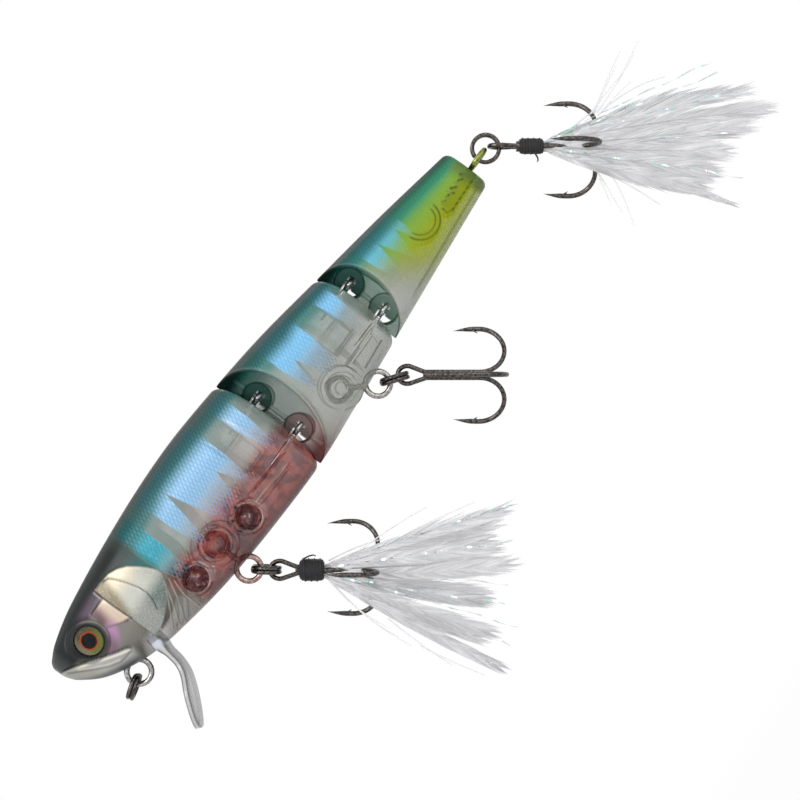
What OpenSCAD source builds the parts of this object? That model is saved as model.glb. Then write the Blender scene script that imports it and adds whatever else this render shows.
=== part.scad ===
// Jointed swimbait: three hollow body sections on two upright hinge pins, a clear diving lip,
// three treble hooks on split rings, and feathers on the front and the tail hook.
// The head points to -X and the back to +Z. Places are measured from the nose, and every
// piece is then moved so that the origin is the middle of the line-tie eye.

/* [Body] */
// Length of the body from the nose to the end of the tail
body_l = 120; // [114:1:128]
// Greatest depth of the body
body_h = 24.6; // [23:0.2:27]
// Greatest width of the body
body_w = 17; // [15.5:0.5:19]
// Wall of the moulded half shells
wall = 1.4; // [1:0.1:1.8]
// Solid plastic of the head behind the line tie
nose_solid = 11; // [10:0.5:12]
// Gap round every piece that is set in the shells
seat_gap = 0.03; // [0.02:0.01:0.06]

/* [Hinges] */
// Distance of the front hinge pin from the nose
front_hinge_x = 62.9; // [61:0.5:65]
// Distance of the rear hinge pin from the nose
rear_hinge_x = 89.8; // [88:0.5:92]
// Diameter of a hinge pin
hinge_pin_d = 1; // [0.8:0.1:1.2]
// Wire of a hinge eye
hinge_wire_d = 1.1; // [0.9:0.1:1.2]
// Running gap between a hinge pin and the eyes on it
hinge_gap = 0.1; // [0.06:0.01:0.2]
// Distance from the edge of a wedge back to its pin
wedge_back = 3; // [2.6:0.1:3.4]
// Gap between the edge of a wedge and the bottom of its notch
notch_gap = 0.5; // [0.45:0.05:0.8]
// How far a wedge face leans back for each millimetre of width
wedge_slope = 1; // [0.95:0.05:1.1]
// How far a notch face leans back for each millimetre of width
notch_slope = 0.32; // [0.2:0.02:0.34]
// Radius of the pocket round a hinge eye
hinge_pocket_r = 2.4; // [2.2:0.1:2.6]
// Step from the side of a hinge pocket to its slot
pocket_step = 0.4; // [0.3:0.05:0.5]
// Height of the upper front hinge eye
front_upper_z = -1.1; // [-1.5:0.1:-0.5]
// Height of the lower front hinge eye
front_lower_z = -10.5; // [-11.5:0.1:-9.5]
// Height of the upper rear hinge eye
rear_upper_z = -2.3; // [-2.6:0.1:-2]
// Height of the lower rear hinge eye
rear_lower_z = -10.2; // [-10.6:0.1:-9.8]
// Plastic left above and below a hinge pin
pin_cover = 1.6; // [1.2:0.1:2]
// Length of the stem of a hinge eye
hinge_stem_l = 9; // [8:0.5:9.5]

/* [Line tie and hangers] */
// Distance of the line tie from the nose
line_tie_x = 9; // [8.5:0.5:10]
// Depth of the line-tie eye below the chin
line_tie_drop = 1.7; // [1.5:0.1:2]
// Distance of the front hanger from the nose
front_hanger_x = 36.4; // [35:0.5:38]
// Distance of the middle hanger from the nose
middle_hanger_x = 78.1; // [77:0.5:79]
// Depth of a hanger eye below the belly
hanger_drop = 1.4; // [1.2:0.1:1.8]
// Height of the tail hanger
tail_hanger_z = -7.7; // [-8.5:0.1:-7]
// Reach of the tail hanger past the end of the tail
tail_hanger_reach = 2.5; // [2.4:0.1:3]
// Length of the tail hanger's stem inside the tail
tail_stem_in = 9.5; // [8.5:0.5:11]
// Wire of the line tie and the hangers
hanger_wire_d = 1.1; // [0.9:0.1:1.2]
// Radius of a hanger eye to the middle of its wire
hanger_loop_r = 2.3; // [2.2:0.1:2.6]
// Radius of the tail hanger eye to the middle of its wire
tail_loop_r = 2.05; // [2:0.05:2.2]
// Distance from a hanger eye to the anchor eye inside the body
anchor_l = 7.5; // [7:0.1:8]
// Radius of an anchor eye to the middle of its wire
anchor_loop_r = 2.1; // [1.9:0.1:2.3]

/* [Split rings] */
// Outer diameter of the hook split rings
hook_ring_d = 5.8; // [5.6:0.1:6.4]
// Outer diameter of the line-tie split ring
line_ring_d = 5.2; // [5:0.1:5.6]
// Wire of the split rings
ring_wire_d = 0.8; // [0.7:0.05:0.85]
// Distance between the two turns of a split ring
ring_turn_gap = 0.75; // [0.65:0.05:0.78]
// Distance of a ring's wire from the middle of the eye that it hangs in
ring_hang = 0.7; // [0.5:0.1:0.8]
// Angle of the line-tie ring below the head's direction
line_ring_dip = 17; // [10:1:30]
// Angle of the front ring below the tail's direction
front_ring_dip = 56; // [50:1:60]
// Angle of the middle ring below the tail's direction
middle_ring_dip = 37; // [34:1:45]
// Place of the tail hook on its ring, below the tail's direction
tail_hook_place = 44; // [40:1:50]

/* [Treble hooks] */
// Angle of the hooks below the tail's direction
hook_dip = 53.7; // [50:0.1:58]
// Wire of a hook
hook_wire_d = 0.9; // [0.8:0.05:1]
// Radius of a hook's eye to the middle of its wire
hook_eye_r = 1.65; // [1.6:0.05:1.8]
// Length of the shank from the middle of the eye to the start of the bends
shank_l = 13.4; // [12.5:0.1:14.5]
// Radius of a bend to the middle of its wire
bend_r = 4.7; // [4.4:0.1:5]
// Length of the straight spear of a prong
spear_l = 2.2; // [1.5:0.1:3]
// Length of the tapered point
point_l = 2.6; // [2:0.1:3.2]
// Diameter at the end of the point
point_d = 0.1; // [0.06:0.02:0.2]

/* [Dressing] */
// Where the thread wrap starts, from the middle of the hook's eye
wrap_start = 3.7; // [3.2:0.1:4.2]
// Layer of thread under the outer turns
wrap_core_t = 0.15; // [0.12:0.01:0.25]
// Thickness of the thread
thread_d = 0.3; // [0.25:0.01:0.32]
// Distance between the outer turns of the thread
thread_pitch = 0.75; // [0.73:0.01:0.9]
// Number of outer turns
thread_turns = 5; // [3:1:8]
// Length of the inner feathers
feather_l = 36; // [30:1:40]
// Greatest width of a feather
feather_w = 10; // [8:0.5:11]
// Thickness of a feather
feather_t = 0.5; // [0.4:0.05:0.6]
// Outward sweep of the feather tips
feather_sweep = 7; // [6:0.5:9]
// Width of a tinsel strand
tinsel_w = 0.5; // [0.4:0.05:0.7]
// Length of the tinsel strands
tinsel_l = 37; // [30:1:40]

/* [Lip] */
// Distance of the lip's root from the nose
lip_x = 16; // [15.5:0.1:17]
// Depth of the root inside the chin
lip_root = 2.8; // [2.4:0.1:3.2]
// Length of the upright leg below the chin
lip_leg = 5.4; // [4.8:0.1:6]
// Forward lean of the upright leg from root to bend
lip_lean = 1.1; // [0.8:0.1:1.6]
// Length of the paddle from the bend to the tip
lip_paddle = 11.9; // [10.5:0.1:13]
// Angle of the paddle below the head's direction
lip_dip = 50; // [45:1:55]
// Thickness of the lip
lip_t = 1.4; // [1.1:0.1:1.6]
// Width of the lip at its root
lip_root_w = 7; // [6:0.2:8]
// Width of the paddle
lip_w = 13.6; // [12:0.2:15]

/* [Eyes and ballast] */
// Distance of the eyes from the nose
eye_x = 8.95; // [8.5:0.05:9.4]
// Height of the eyes
eye_z = -2.8; // [-3:0.05:-2.5]
// Diameter of an eye
eye_d = 5.8; // [5.2:0.1:6]
// Forward turn of an eye
eye_turn = 13; // [9:1:17]
// Depth of the eye socket
eye_socket = 1.2; // [1:0.1:1.4]
// Thickness of the iris disc
iris_t = 0.7; // [0.5:0.05:0.8]
// Rise of the lens over its rim
lens_rise = 0.9; // [0.7:0.05:1.1]
// Diameter of a ballast ball
ball_d = 5.2; // [4.6:0.1:5.4]
// Distance of the front ballast ball from the nose
front_ball_x = 29; // [26:0.5:29.5]
// Distance of the rear ballast ball from the nose
rear_ball_x = 44; // [43:0.5:47]
// Height of a ballast ball above the belly
ball_lift = 4.8; // [4.5:0.1:5.2]
// Wall of plastic round a ballast ball
ball_seat_t = 1; // [0.8:0.1:1.3]

/* [Hidden] */
$fn = 64;
// Outlines as shares of the body's length and depth or half width
back_line = [[0, 0.01], [0.033, 0.09], [0.1, 0.171], [0.25, 0.26], [0.375, 0.291], [0.483, 0.266],
    [0.6, 0.215], [0.717, 0.13], [0.858, 0.025], [1, -0.098]];
belly_line = [[0, -0.128], [0.0083, -0.205], [0.033, -0.346], [0.067, -0.455], [0.117, -0.555],
    [0.183, -0.622], [0.267, -0.679], [0.375, -0.71], [0.5, -0.716], [0.6, -0.675], [0.775, -0.589],
    [1, -0.48]];
width_line = [[0, 0.18], [0.0167, 0.34], [0.033, 0.45], [0.067, 0.59], [0.117, 0.73], [0.183, 0.85],
    [0.267, 0.93], [0.375, 0.99], [0.5, 1], [0.625, 0.93], [0.75, 0.82], [0.875, 0.61], [1, 0.33]];
// Height of the widest line, as a share of the depth below the back, and the fullness above and below it
widest_share = 0.45;
upper_fullness = 2.3;
lower_fullness = 2;
nose_slope = 0.4;
arc_steps = 16;
past = 1;
bunched = 1.7;

// Smooth curve through points that rise in X
function span_of(p, x, i = 0) = i >= len(p) - 2 || x < p[i + 1][0] ? i : span_of(p, x, i + 1);
function slope_at(p, i) = let(a = p[max(i - 1, 0)], b = p[min(i + 1, len(p) - 1)])
    (b[1] - a[1]) / (b[0] - a[0]);
function curve(p, x) = let(i = span_of(p, x), a = p[i], b = p[i + 1], d = b[0] - a[0], t = (x - a[0]) / d)
    a[1] * (1 + 2 * t) * pow(1 - t, 2) + b[1] * t * t * (3 - 2 * t)
    + d * t * (1 - t) * (slope_at(p, i) * (1 - t) - slope_at(p, i + 1) * t);
function mix(a, b, t) = a + (b - a) * t;

// Back, belly and half width at a distance from the nose
function back(x) = body_h * curve(back_line, x / body_l);
function belly(x) = body_h * curve(belly_line, x / body_l);
function half_w(x) = body_w / 2 * curve(width_line, x / body_l);
function widest_z(x, inset = 0) = mix(back(x) - inset, belly(x) + inset, widest_share);
// Point of the cross-section at angle a, from -90 on the belly to 90 on the back
function section(x, a, inset) =
    let(w = half_w(x) - inset, m = widest_z(x, inset), e = 2 / (a > 0 ? upper_fullness : lower_fullness))
    [w * pow(max(cos(a), 0), e),
        a > 0 ? mix(m, back(x) - inset, pow(sin(a), e)) : mix(m, belly(x) + inset, pow(-sin(a), e))];
// Half width at a height above the widest line
function side_y(x, z) = let(m = widest_z(x))
    half_w(x) * pow(1 - pow((z - m) / (back(x) - m), upper_fullness), 1 / upper_fullness);

// Where the sections end, on the middle plane
front_wedge = front_hinge_x - wedge_back;
front_notch = front_wedge - notch_gap;
rear_wedge = rear_hinge_x - wedge_back;
rear_notch = rear_wedge - notch_gap;
// Solid plastic ahead of and behind the hollow of a section
gill_x = line_tie_x + nose_solid;
wedge_solid = wedge_back + hinge_pocket_r + wall;
hinge_bar_l = 4;
anchor_solid = hinge_stem_l - wedge_back - notch_gap + hinge_wire_d / 2 + notch_slope * hinge_bar_l / 2
    + wall;
tail_stem_l = tail_hanger_reach + tail_stem_in;
tail_solid = tail_stem_l - tail_hanger_reach + hanger_wire_d + wall;

// Wire eyes
front_eye_z = [front_upper_z, front_lower_z];
rear_eye_z = [rear_upper_z, rear_lower_z];
ball_x = [front_ball_x, rear_ball_x];
tie_at = [line_tie_x, 0, belly(line_tie_x) - line_tie_drop];
front_hanger_at = [front_hanger_x, 0, belly(front_hanger_x) - hanger_drop];
middle_hanger_at = [middle_hanger_x, 0, belly(middle_hanger_x) - hanger_drop];
tail_hanger_at = [body_l + tail_hanger_reach, 0, tail_hanger_z];
line_tie_anchor = 60;
front_anchor = 90;
middle_anchor = 135;
hinge_loop_r = hinge_pin_d / 2 + hinge_gap + hinge_wire_d / 2;
pocket_slot_h = 2 * (hinge_pocket_r - pocket_step);
tail_bar_l = 4;
peg_r = anchor_loop_r - hanger_wire_d / 2 - 3 * seat_gap;
dowel_r = peg_r / 2;
dowel_l = 2;

// Rings and the hooks on them
hook_ring_r = (hook_ring_d - ring_wire_d) / 2;
line_ring_r = (line_ring_d - ring_wire_d) / 2;
function below(angle, r) = [r * cos(angle), 0, -r * sin(angle)];
line_ring_at = tie_at + below(180 - line_ring_dip, ring_hang + line_ring_r);
front_ring_at = front_hanger_at + below(front_ring_dip, ring_hang + hook_ring_r);
middle_ring_at = middle_hanger_at + below(middle_ring_dip, ring_hang + hook_ring_r);
tail_ring_at = tail_hanger_at + [hook_ring_r, 0, 0];
front_hook_at = front_ring_at + below(front_ring_dip, hook_ring_r);
middle_hook_at = middle_ring_at + below(middle_ring_dip, hook_ring_r);
tail_hook_at = tail_ring_at + below(tail_hook_place, hook_ring_r);
strand_r = 0.69 * hook_wire_d;
shank_r = strand_r + hook_wire_d / 2;
strand_start = 2.1 * hook_eye_r;
braze_back = hook_wire_d / 2;

// Thread, feathers and tinsel, in the hook's own frame with the shank along X
wrap_l = (thread_turns + 1) * thread_pitch;
wrap_r = shank_r + seat_gap + wrap_core_t;
thread_r = wrap_r + seat_gap + thread_d / 2;
thread_sides = 6;
turn_rings = 24;
feather_start = wrap_start + wrap_l + seat_gap;
feather_rings = 11;
feather_layers = 2;
layer_step = 0.9;
layer_spread = 1.6;
layer_short = 4;
tinsel_turn = 16;
// Half width of a feather along its length, as a share
vane_line = [[0, 0.06], [0.12, 0.2], [0.3, 0.5], [0.6, 0.95], [0.8, 1], [0.93, 0.75], [1, 0.2]];

// Lip
lip_top = belly(lip_x) + lip_root;
lip_bend = belly(lip_x) - lip_leg;
lip_points = [[lip_x, lip_top], [lip_x - lip_lean, lip_bend],
    [lip_x - lip_lean - lip_paddle * cos(lip_dip), lip_bend - lip_paddle * sin(lip_dip)]];

// Moves a piece from the nose's frame to the line tie's
module placed() translate(-tie_at) children();

// Half of a body section on the +Y side: its ends are planes that lean back with the width
function skin_point(ends, u, a, inset) = let(
    x0 = mix(ends[0], ends[2], u),
    y0 = section(x0, a, inset)[0],
    x1 = mix(ends[0] + ends[1] * y0, ends[2] + ends[3] * y0, u),
    p = section(x1, a, inset))
    [mix(ends[0] + ends[1] * p[0], ends[2] + ends[3] * p[0], u), p[0], p[1]];
module half_solid(ends, steps, inset = 0, cut = 0, bunch = 1) {
    row = arc_steps + 1;
    points = [for (i = [0:steps], j = [0:arc_steps])
        let(p = skin_point(ends, pow(i / steps, bunch), -90 + 180 * j / arc_steps, inset))
        j == 0 || j == arc_steps ? [p[0], -cut, p[2]] : p];
    skin = [for (i = [0:steps - 1], j = [0:arc_steps - 1]) let(a = i * row + j)
        each [[a, a + row, a + row + 1], [a, a + row + 1, a + 1]]];
    flat = [for (i = [0:steps - 1]) let(a = i * row, b = a + arc_steps)
        each [[a, b, b + row], [a, b + row, a + row]]];
    front_cap = [for (j = [0:arc_steps / 2 - 1]) each cap_pair(j, arc_steps - j)];
    rear_cap = [for (t = front_cap) [for (k = [2:-1:0]) t[k] + steps * row]];
    polyhedron(points, concat(skin, flat, front_cap, rear_cap));
}
function cap_pair(a, b) = a + 2 == b ? [[a, a + 1, b]] : [[a, a + 1, b], [a + 1, b - 1, b]];

// Round bar through the body from side to side
module cross_bar(at, r, l = 2 * body_w) translate(at) rotate([90, 0, 0])
    cylinder(r = r, h = l, center = true);

// Wire ring round the Z axis
module wire_ring(r, d) rotate_extrude() translate([r, 0]) circle(d = d);
// Figure-eight wire: the eye outside, and the anchor eye inside the body
module figure_eight(at, angle, grow = 0) translate(at) rotate([0, -angle, 0]) rotate([90, 0, 0]) {
    d = hanger_wire_d + 2 * grow;
    wire_ring(hanger_loop_r, d);
    translate([hanger_loop_r, 0, 0]) rotate([0, 90, 0])
        cylinder(d = d, h = anchor_l - hanger_loop_r - anchor_loop_r);
    translate([anchor_l, 0, 0]) wire_ring(anchor_loop_r, d);
}
// Level wire eye with a stem toward the head and a cross bar at its end
module stem_eye(at, loop_r, d, stem_l, bar_l, grow = 0) translate(at) {
    wire_ring(loop_r, d + 2 * grow);
    translate([-stem_l, 0, 0]) rotate([0, 90, 0]) cylinder(d = d + 2 * grow, h = stem_l - loop_r);
    cross_bar([-stem_l, 0, 0], d / 2 + grow, bar_l + 2 * grow);
}
module hinge_eye(x, z, grow = 0)
    stem_eye([x, 0, z], hinge_loop_r, hinge_wire_d, hinge_stem_l, hinge_bar_l, grow);
module tail_eye(grow = 0)
    stem_eye(tail_hanger_at, tail_loop_r, hanger_wire_d, tail_stem_l, tail_bar_l, grow);
module hinge_pin(x, grow = 0) translate([x, 0, belly(x) + pin_cover - grow])
    cylinder(d = hinge_pin_d + 2 * grow, h = back(x) - belly(x) - 2 * pin_cover + 2 * grow);
// Pocket in a wedge for a hinge eye, with a slot to the front for its stem
module hinge_pocket(x, z) {
    cross_bar([x, 0, z], hinge_pocket_r);
    translate([x - 2 * wedge_back, -body_w, z - pocket_slot_h / 2])
        cube([2 * wedge_back, 2 * body_w, pocket_slot_h]);
}
function anchor_at(at, angle) = at + [anchor_l * cos(angle), 0, anchor_l * sin(angle)];
function ball_at(x) = [x, 0, belly(x) + ball_lift];

// Joins the two shells of a section: a peg inside an anchor eye, with a dowel on the right shell
module dowel_hole(at) cross_bar(at, dowel_r + seat_gap, 2 * (dowel_l + seat_gap));
module dowel(at) cross_bar(at, dowel_r, 2 * dowel_l);
// The left side is -Y
module side(left) mirror([0, left ? 1 : 0, 0]) children();

module head_shell(left) color("slategray") placed() union() {
    anchor = anchor_at(front_hanger_at, front_anchor);
    difference() {
        side(left) half_solid([0, nose_slope, front_notch, notch_slope], 22, bunch = bunched);
        side(left) difference() {
            half_solid([gill_x, 0, front_notch - anchor_solid, notch_slope], 14, inset = wall, cut = past);
            cross_bar(anchor, peg_r);
            for (x = ball_x) cross_bar(ball_at(x), ball_d / 2 + ball_seat_t);
        }
        for (x = ball_x) translate(ball_at(x)) sphere(d = ball_d + 2 * seat_gap);
        figure_eight(tie_at, line_tie_anchor, seat_gap);
        figure_eight(front_hanger_at, front_anchor, seat_gap);
        for (z = front_eye_z) hinge_eye(front_hinge_x, z, seat_gap);
        lip_plate(seat_gap);
        side(left) mirror([0, 1, 0]) eye_socket_cut();
        if (left) dowel_hole(anchor);
    }
    if (!left) dowel(anchor);
}
module middle_shell(left) color("darkseagreen") placed() union() {
    anchor = anchor_at(middle_hanger_at, middle_anchor);
    difference() {
        side(left) half_solid([front_wedge, wedge_slope, rear_notch, notch_slope], 14);
        side(left) difference() {
            half_solid([front_wedge + wedge_solid, wedge_slope, rear_notch - anchor_solid, notch_slope], 8,
                inset = wall, cut = past);
            cross_bar(anchor, peg_r);
        }
        figure_eight(middle_hanger_at, middle_anchor, seat_gap);
        hinge_pin(front_hinge_x, seat_gap);
        for (z = front_eye_z) hinge_pocket(front_hinge_x, z);
        for (z = rear_eye_z) hinge_eye(rear_hinge_x, z, seat_gap);
        if (left) dowel_hole(anchor);
    }
    if (!left) dowel(anchor);
}
module tail_shell(left) color("yellowgreen") placed() difference() {
    side(left) half_solid([rear_wedge, wedge_slope, body_l, 0], 14);
    side(left) half_solid([rear_wedge + wedge_solid, wedge_slope, body_l - tail_solid, 0], 8,
        inset = wall, cut = past);
    hinge_pin(rear_hinge_x, seat_gap);
    for (z = rear_eye_z) hinge_pocket(rear_hinge_x, z);
    tail_eye(seat_gap);
}

// Eye on the -Y side, its axis along local Z and its rim at the skin
module at_eye() translate([eye_x, -side_y(eye_x, eye_z), eye_z]) rotate([90, 0, -eye_turn]) children();
module eye_socket_cut() at_eye() translate([0, 0, -eye_socket])
    cylinder(d = eye_d + 2 * seat_gap, h = 2 * eye_d);
module eye_disc(left) color("olive") placed() mirror([0, left ? 0 : 1, 0])
    at_eye() translate([0, 0, -eye_socket]) cylinder(d = eye_d, h = iris_t);
module eye_lens(left) color("lightcyan", 0.5) placed() mirror([0, left ? 0 : 1, 0]) at_eye() {
    base = iris_t - eye_socket;
    rim = eye_socket - iris_t;
    dome_r = (pow(eye_d / 2, 2) + pow(lens_rise, 2)) / (2 * lens_rise);
    intersection() {
        translate([0, 0, base]) cylinder(d = eye_d, h = rim + lens_rise);
        translate([0, 0, base + rim + lens_rise - dome_r]) sphere(r = dome_r);
    }
}

// Bent plate: its side view, cut to a neck and a round paddle
function unit(v) = v / norm(v);
function left_of(v) = [-v[1], v[0]];
module lip_plate(grow = 0) {
    h = lip_t / 2 + grow;
    leg = unit(lip_points[1] - lip_points[0]);
    paddle = unit(lip_points[2] - lip_points[1]);
    corner = (left_of(leg) + left_of(paddle)) / (1 + leg * paddle);
    root = lip_points[0] - leg * grow;
    half_paddle = lip_w / 2 + grow;
    intersection() {
        rotate([90, 0, 0]) linear_extrude(2 * lip_w, center = true)
            polygon([root + h * left_of(leg), lip_points[1] + h * corner, lip_points[2] + h * left_of(paddle),
                lip_points[2] - h * left_of(paddle), lip_points[1] - h * corner, root - h * left_of(leg)]);
        translate([lip_points[1][0], 0, lip_points[1][1]]) rotate([0, 180 - lip_dip, 0])
            linear_extrude(4 * lip_w, center = true) {
                translate([lip_paddle - half_paddle + grow, 0]) circle(r = half_paddle);
                translate([-2 * lip_w, -lip_root_w / 2 - grow])
                    square([2 * lip_w + half_paddle / 2, lip_root_w + 2 * grow]);
            }
    }
}
module diving_lip() color("aliceblue", 0.6) placed() lip_plate();

module line_tie_eye() color("silver") placed() figure_eight(tie_at, line_tie_anchor);
module front_hook_hanger() color("silver") placed() figure_eight(front_hanger_at, front_anchor);
module middle_hook_hanger() color("silver") placed() figure_eight(middle_hanger_at, middle_anchor);
module tail_hook_hanger() color("darkkhaki") placed() tail_eye();
module hinge_eye_part(x, z) color("gray") placed() hinge_eye(x, z);
module hinge_pin_part(x) color("silver") placed() hinge_pin(x);
module ballast_ball(x) color("dimgray") placed() translate(ball_at(x)) sphere(d = ball_d);

// Split ring of two turns round the local Z axis
module split_ring(r) rotate_extrude() for (k = [-1, 1])
    translate([r, k * ring_turn_gap / 2]) circle(d = ring_wire_d);
// Ring seen edge-on from the side, reaching away from its eye at an angle below the tail's direction
module edge_ring(at, dip, r) color("darkslategray") placed() translate(at) rotate([0, dip, 0]) split_ring(r);
module tail_split_ring() color("darkslategray") placed() translate(tail_ring_at) rotate([90, 0, 0])
    split_ring(hook_ring_r);

// Treble hook with its shank along X and the middle of its eye at the origin
module prong() {
    top = strand_r + 2 * bend_r;
    translate([strand_start, 0, strand_r]) rotate([0, 90, 0])
        cylinder(d = hook_wire_d, h = shank_l - strand_start);
    translate([shank_l, 0, strand_r + bend_r]) rotate([90, 0, 0]) rotate([0, 0, -90])
        rotate_extrude(angle = 180) translate([bend_r, 0]) circle(d = hook_wire_d);
    translate([shank_l, 0, top]) rotate([0, -90, 0]) cylinder(d = hook_wire_d, h = spear_l);
    translate([shank_l - spear_l, 0, top]) rotate([0, -90, 0])
        cylinder(d1 = hook_wire_d, d2 = point_d, h = point_l);
}
module treble_hook(eye_side) color("dimgray") {
    rotate([90 + eye_side, 0, 0]) wire_ring(hook_eye_r, hook_wire_d);
    translate([hook_eye_r, 0, 0]) rotate([0, 90, 0])
        cylinder(r = strand_r, h = shank_l - braze_back - hook_eye_r);
    for (k = [0:2]) rotate([90 + 120 * k, 0, 0]) prong();
}
module on_hook(at) placed() translate(at) rotate([0, hook_dip, 0]) children();

// Closed tube through rings of points
module tube(rings) {
    n = len(rings);
    m = len(rings[0]);
    sides = [for (i = [0:n - 2], k = [0:m - 1]) let(a = i * m + k, b = i * m + (k + 1) % m)
        each [[a, a + m, b + m], [a, b + m, b]]];
    caps = [for (k = [1:m - 2]) each [[0, k, k + 1], [(n - 1) * m + k + 1, (n - 1) * m + k, (n - 1) * m]]];
    polyhedron([for (r = rings) each r], concat(sides, caps));
}

// Thread: straight at both ends, and turned round the shank between them
thread_first = wrap_start + thread_pitch / 2;
thread_steps = thread_turns * turn_rings;
function thread_turn(i) = 360 * i / turn_rings;
function thread_out(i) = [0, cos(thread_turn(i)), sin(thread_turn(i))];
function thread_way(i) = let(round = 2 * PI * thread_r, a = thread_turn(i))
    unit([thread_pitch, -sin(a) * round, cos(a) * round]);
function thread_on(i) = thread_r * thread_out(i) + [thread_first + thread_pitch * i / turn_rings, 0, 0];
thread_path = [thread_on(0) - thread_d * thread_way(0), for (i = [0:thread_steps]) thread_on(i),
    thread_on(thread_steps) + thread_d * thread_way(thread_steps)];
function thread_ring(n) =
    let(i = min(max(n - 1, 0), thread_steps), u = thread_out(i), v = cross(thread_way(i), u))
    [for (k = [0:thread_sides - 1]) let(a = 360 * k / thread_sides)
        thread_path[n] + thread_d / 2 * (u * cos(a) + v * sin(a))];
thread_gap = min([for (i = [0:len(thread_path) - 1], j = [i + turn_rings / 2:1:len(thread_path) - 1])
    norm(thread_path[i] - thread_path[j])]) - thread_d;
echo(thread_gap = thread_gap);
module thread_wrap() color("black") {
    translate([wrap_start, 0, 0]) rotate([0, 90, 0]) difference() {
        cylinder(r = wrap_r, h = wrap_l);
        translate([0, 0, -past]) cylinder(r = shank_r + seat_gap, h = wrap_l + 2 * past);
    }
    tube([for (n = [0:len(thread_path) - 1]) thread_ring(n)]);
}

// Feather or tinsel strand in the gap between two prongs, flat side outward
function plume_r(d, layer) = wrap_r + feather_t + layer * layer_step
    + (feather_sweep + layer * layer_spread) * pow(d / feather_l, 2);
function strand_ring(d, layer, w, t) = let(x = feather_start + d, r = plume_r(d, layer))
    [[x, w, r], [x, w / 2, r + t], [x, -w / 2, r + t], [x, -w, r], [x, -w / 2, r - t], [x, w / 2, r - t]];
module plume(l, layer, w) tube([for (i = [0:feather_rings - 1]) let(u = i / (feather_rings - 1))
    strand_ring(u * l, layer, w / 2 * curve(vane_line, u), feather_t / 2)]);
module feathers() color("whitesmoke") for (k = [0:2], layer = [0:feather_layers - 1])
    rotate([30 + 120 * k, 0, 0]) plume(feather_l - layer * layer_short, layer, feather_w);
module tinsel() color("paleturquoise") for (k = [0:2], s = [-1, 1])
    rotate([30 + 120 * k + s * tinsel_turn, 0, 0])
        tube([for (i = [0:feather_rings - 1]) let(u = i / (feather_rings - 1))
            strand_ring(u * tinsel_l, feather_layers, tinsel_w / 2, tinsel_w / 4)]);

head_shell(true);  // head_shell_left
head_shell(false);  // head_shell_right
middle_shell(true);  // middle_shell_left
middle_shell(false);  // middle_shell_right
tail_shell(true);  // tail_shell_left
tail_shell(false);  // tail_shell_right
eye_disc(true);  // eye_disc_left
eye_disc(false);  // eye_disc_right
eye_lens(true);  // eye_lens_left
eye_lens(false);  // eye_lens_right
diving_lip();
line_tie_eye();
edge_ring(line_ring_at, 180 - line_ring_dip, line_ring_r);  // line_tie_ring
front_hook_hanger();
middle_hook_hanger();
tail_hook_hanger();
edge_ring(front_ring_at, front_ring_dip, hook_ring_r);  // front_split_ring
edge_ring(middle_ring_at, middle_ring_dip, hook_ring_r);  // middle_split_ring
tail_split_ring();
on_hook(front_hook_at) treble_hook(0);  // front_treble_hook
on_hook(middle_hook_at) treble_hook(0);  // middle_treble_hook
on_hook(tail_hook_at) treble_hook(90);  // tail_treble_hook
on_hook(front_hook_at) thread_wrap();  // front_thread_wrap
on_hook(tail_hook_at) thread_wrap();  // tail_thread_wrap
on_hook(front_hook_at) feathers();  // front_feathers
on_hook(tail_hook_at) feathers();  // tail_feathers
on_hook(front_hook_at) tinsel();  // front_tinsel
on_hook(tail_hook_at) tinsel();  // tail_tinsel
hinge_pin_part(front_hinge_x);  // front_hinge_pin
hinge_pin_part(rear_hinge_x);  // rear_hinge_pin
hinge_eye_part(front_hinge_x, front_eye_z[0]);  // front_hinge_upper_eye
hinge_eye_part(front_hinge_x, front_eye_z[1]);  // front_hinge_lower_eye
hinge_eye_part(rear_hinge_x, rear_eye_z[0]);  // rear_hinge_upper_eye
hinge_eye_part(rear_hinge_x, rear_eye_z[1]);  // rear_hinge_lower_eye
ballast_ball(ball_x[0]);  // front_ballast_ball
ballast_ball(ball_x[1]);  // rear_ballast_ball
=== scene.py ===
"""Looks of the jointed swimbait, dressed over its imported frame.

Places are millimetres from the nose, with the tail at +X and the back at +Z, as in the part's source.
"""
import math
import random

import bpy
import numpy as np
from mathutils import Matrix, Vector


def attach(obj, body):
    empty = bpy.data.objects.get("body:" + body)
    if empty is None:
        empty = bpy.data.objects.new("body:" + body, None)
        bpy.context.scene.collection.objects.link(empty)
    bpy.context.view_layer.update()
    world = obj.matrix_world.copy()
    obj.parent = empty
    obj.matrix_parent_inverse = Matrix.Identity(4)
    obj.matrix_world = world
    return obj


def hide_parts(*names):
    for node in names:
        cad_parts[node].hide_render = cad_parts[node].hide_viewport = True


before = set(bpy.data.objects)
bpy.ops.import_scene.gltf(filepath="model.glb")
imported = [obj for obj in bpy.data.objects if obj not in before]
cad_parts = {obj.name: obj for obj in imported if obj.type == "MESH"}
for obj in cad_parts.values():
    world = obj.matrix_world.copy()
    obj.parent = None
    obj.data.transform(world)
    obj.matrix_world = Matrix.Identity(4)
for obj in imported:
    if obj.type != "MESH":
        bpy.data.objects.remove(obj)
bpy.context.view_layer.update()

MM = 0.001
TIE = np.array([9.0, 0.0, -13.3692])  # Middle of the line-tie eye, the origin of the part's frame
SCENE = bpy.context.scene
DRAW = random.Random(7)

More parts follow.
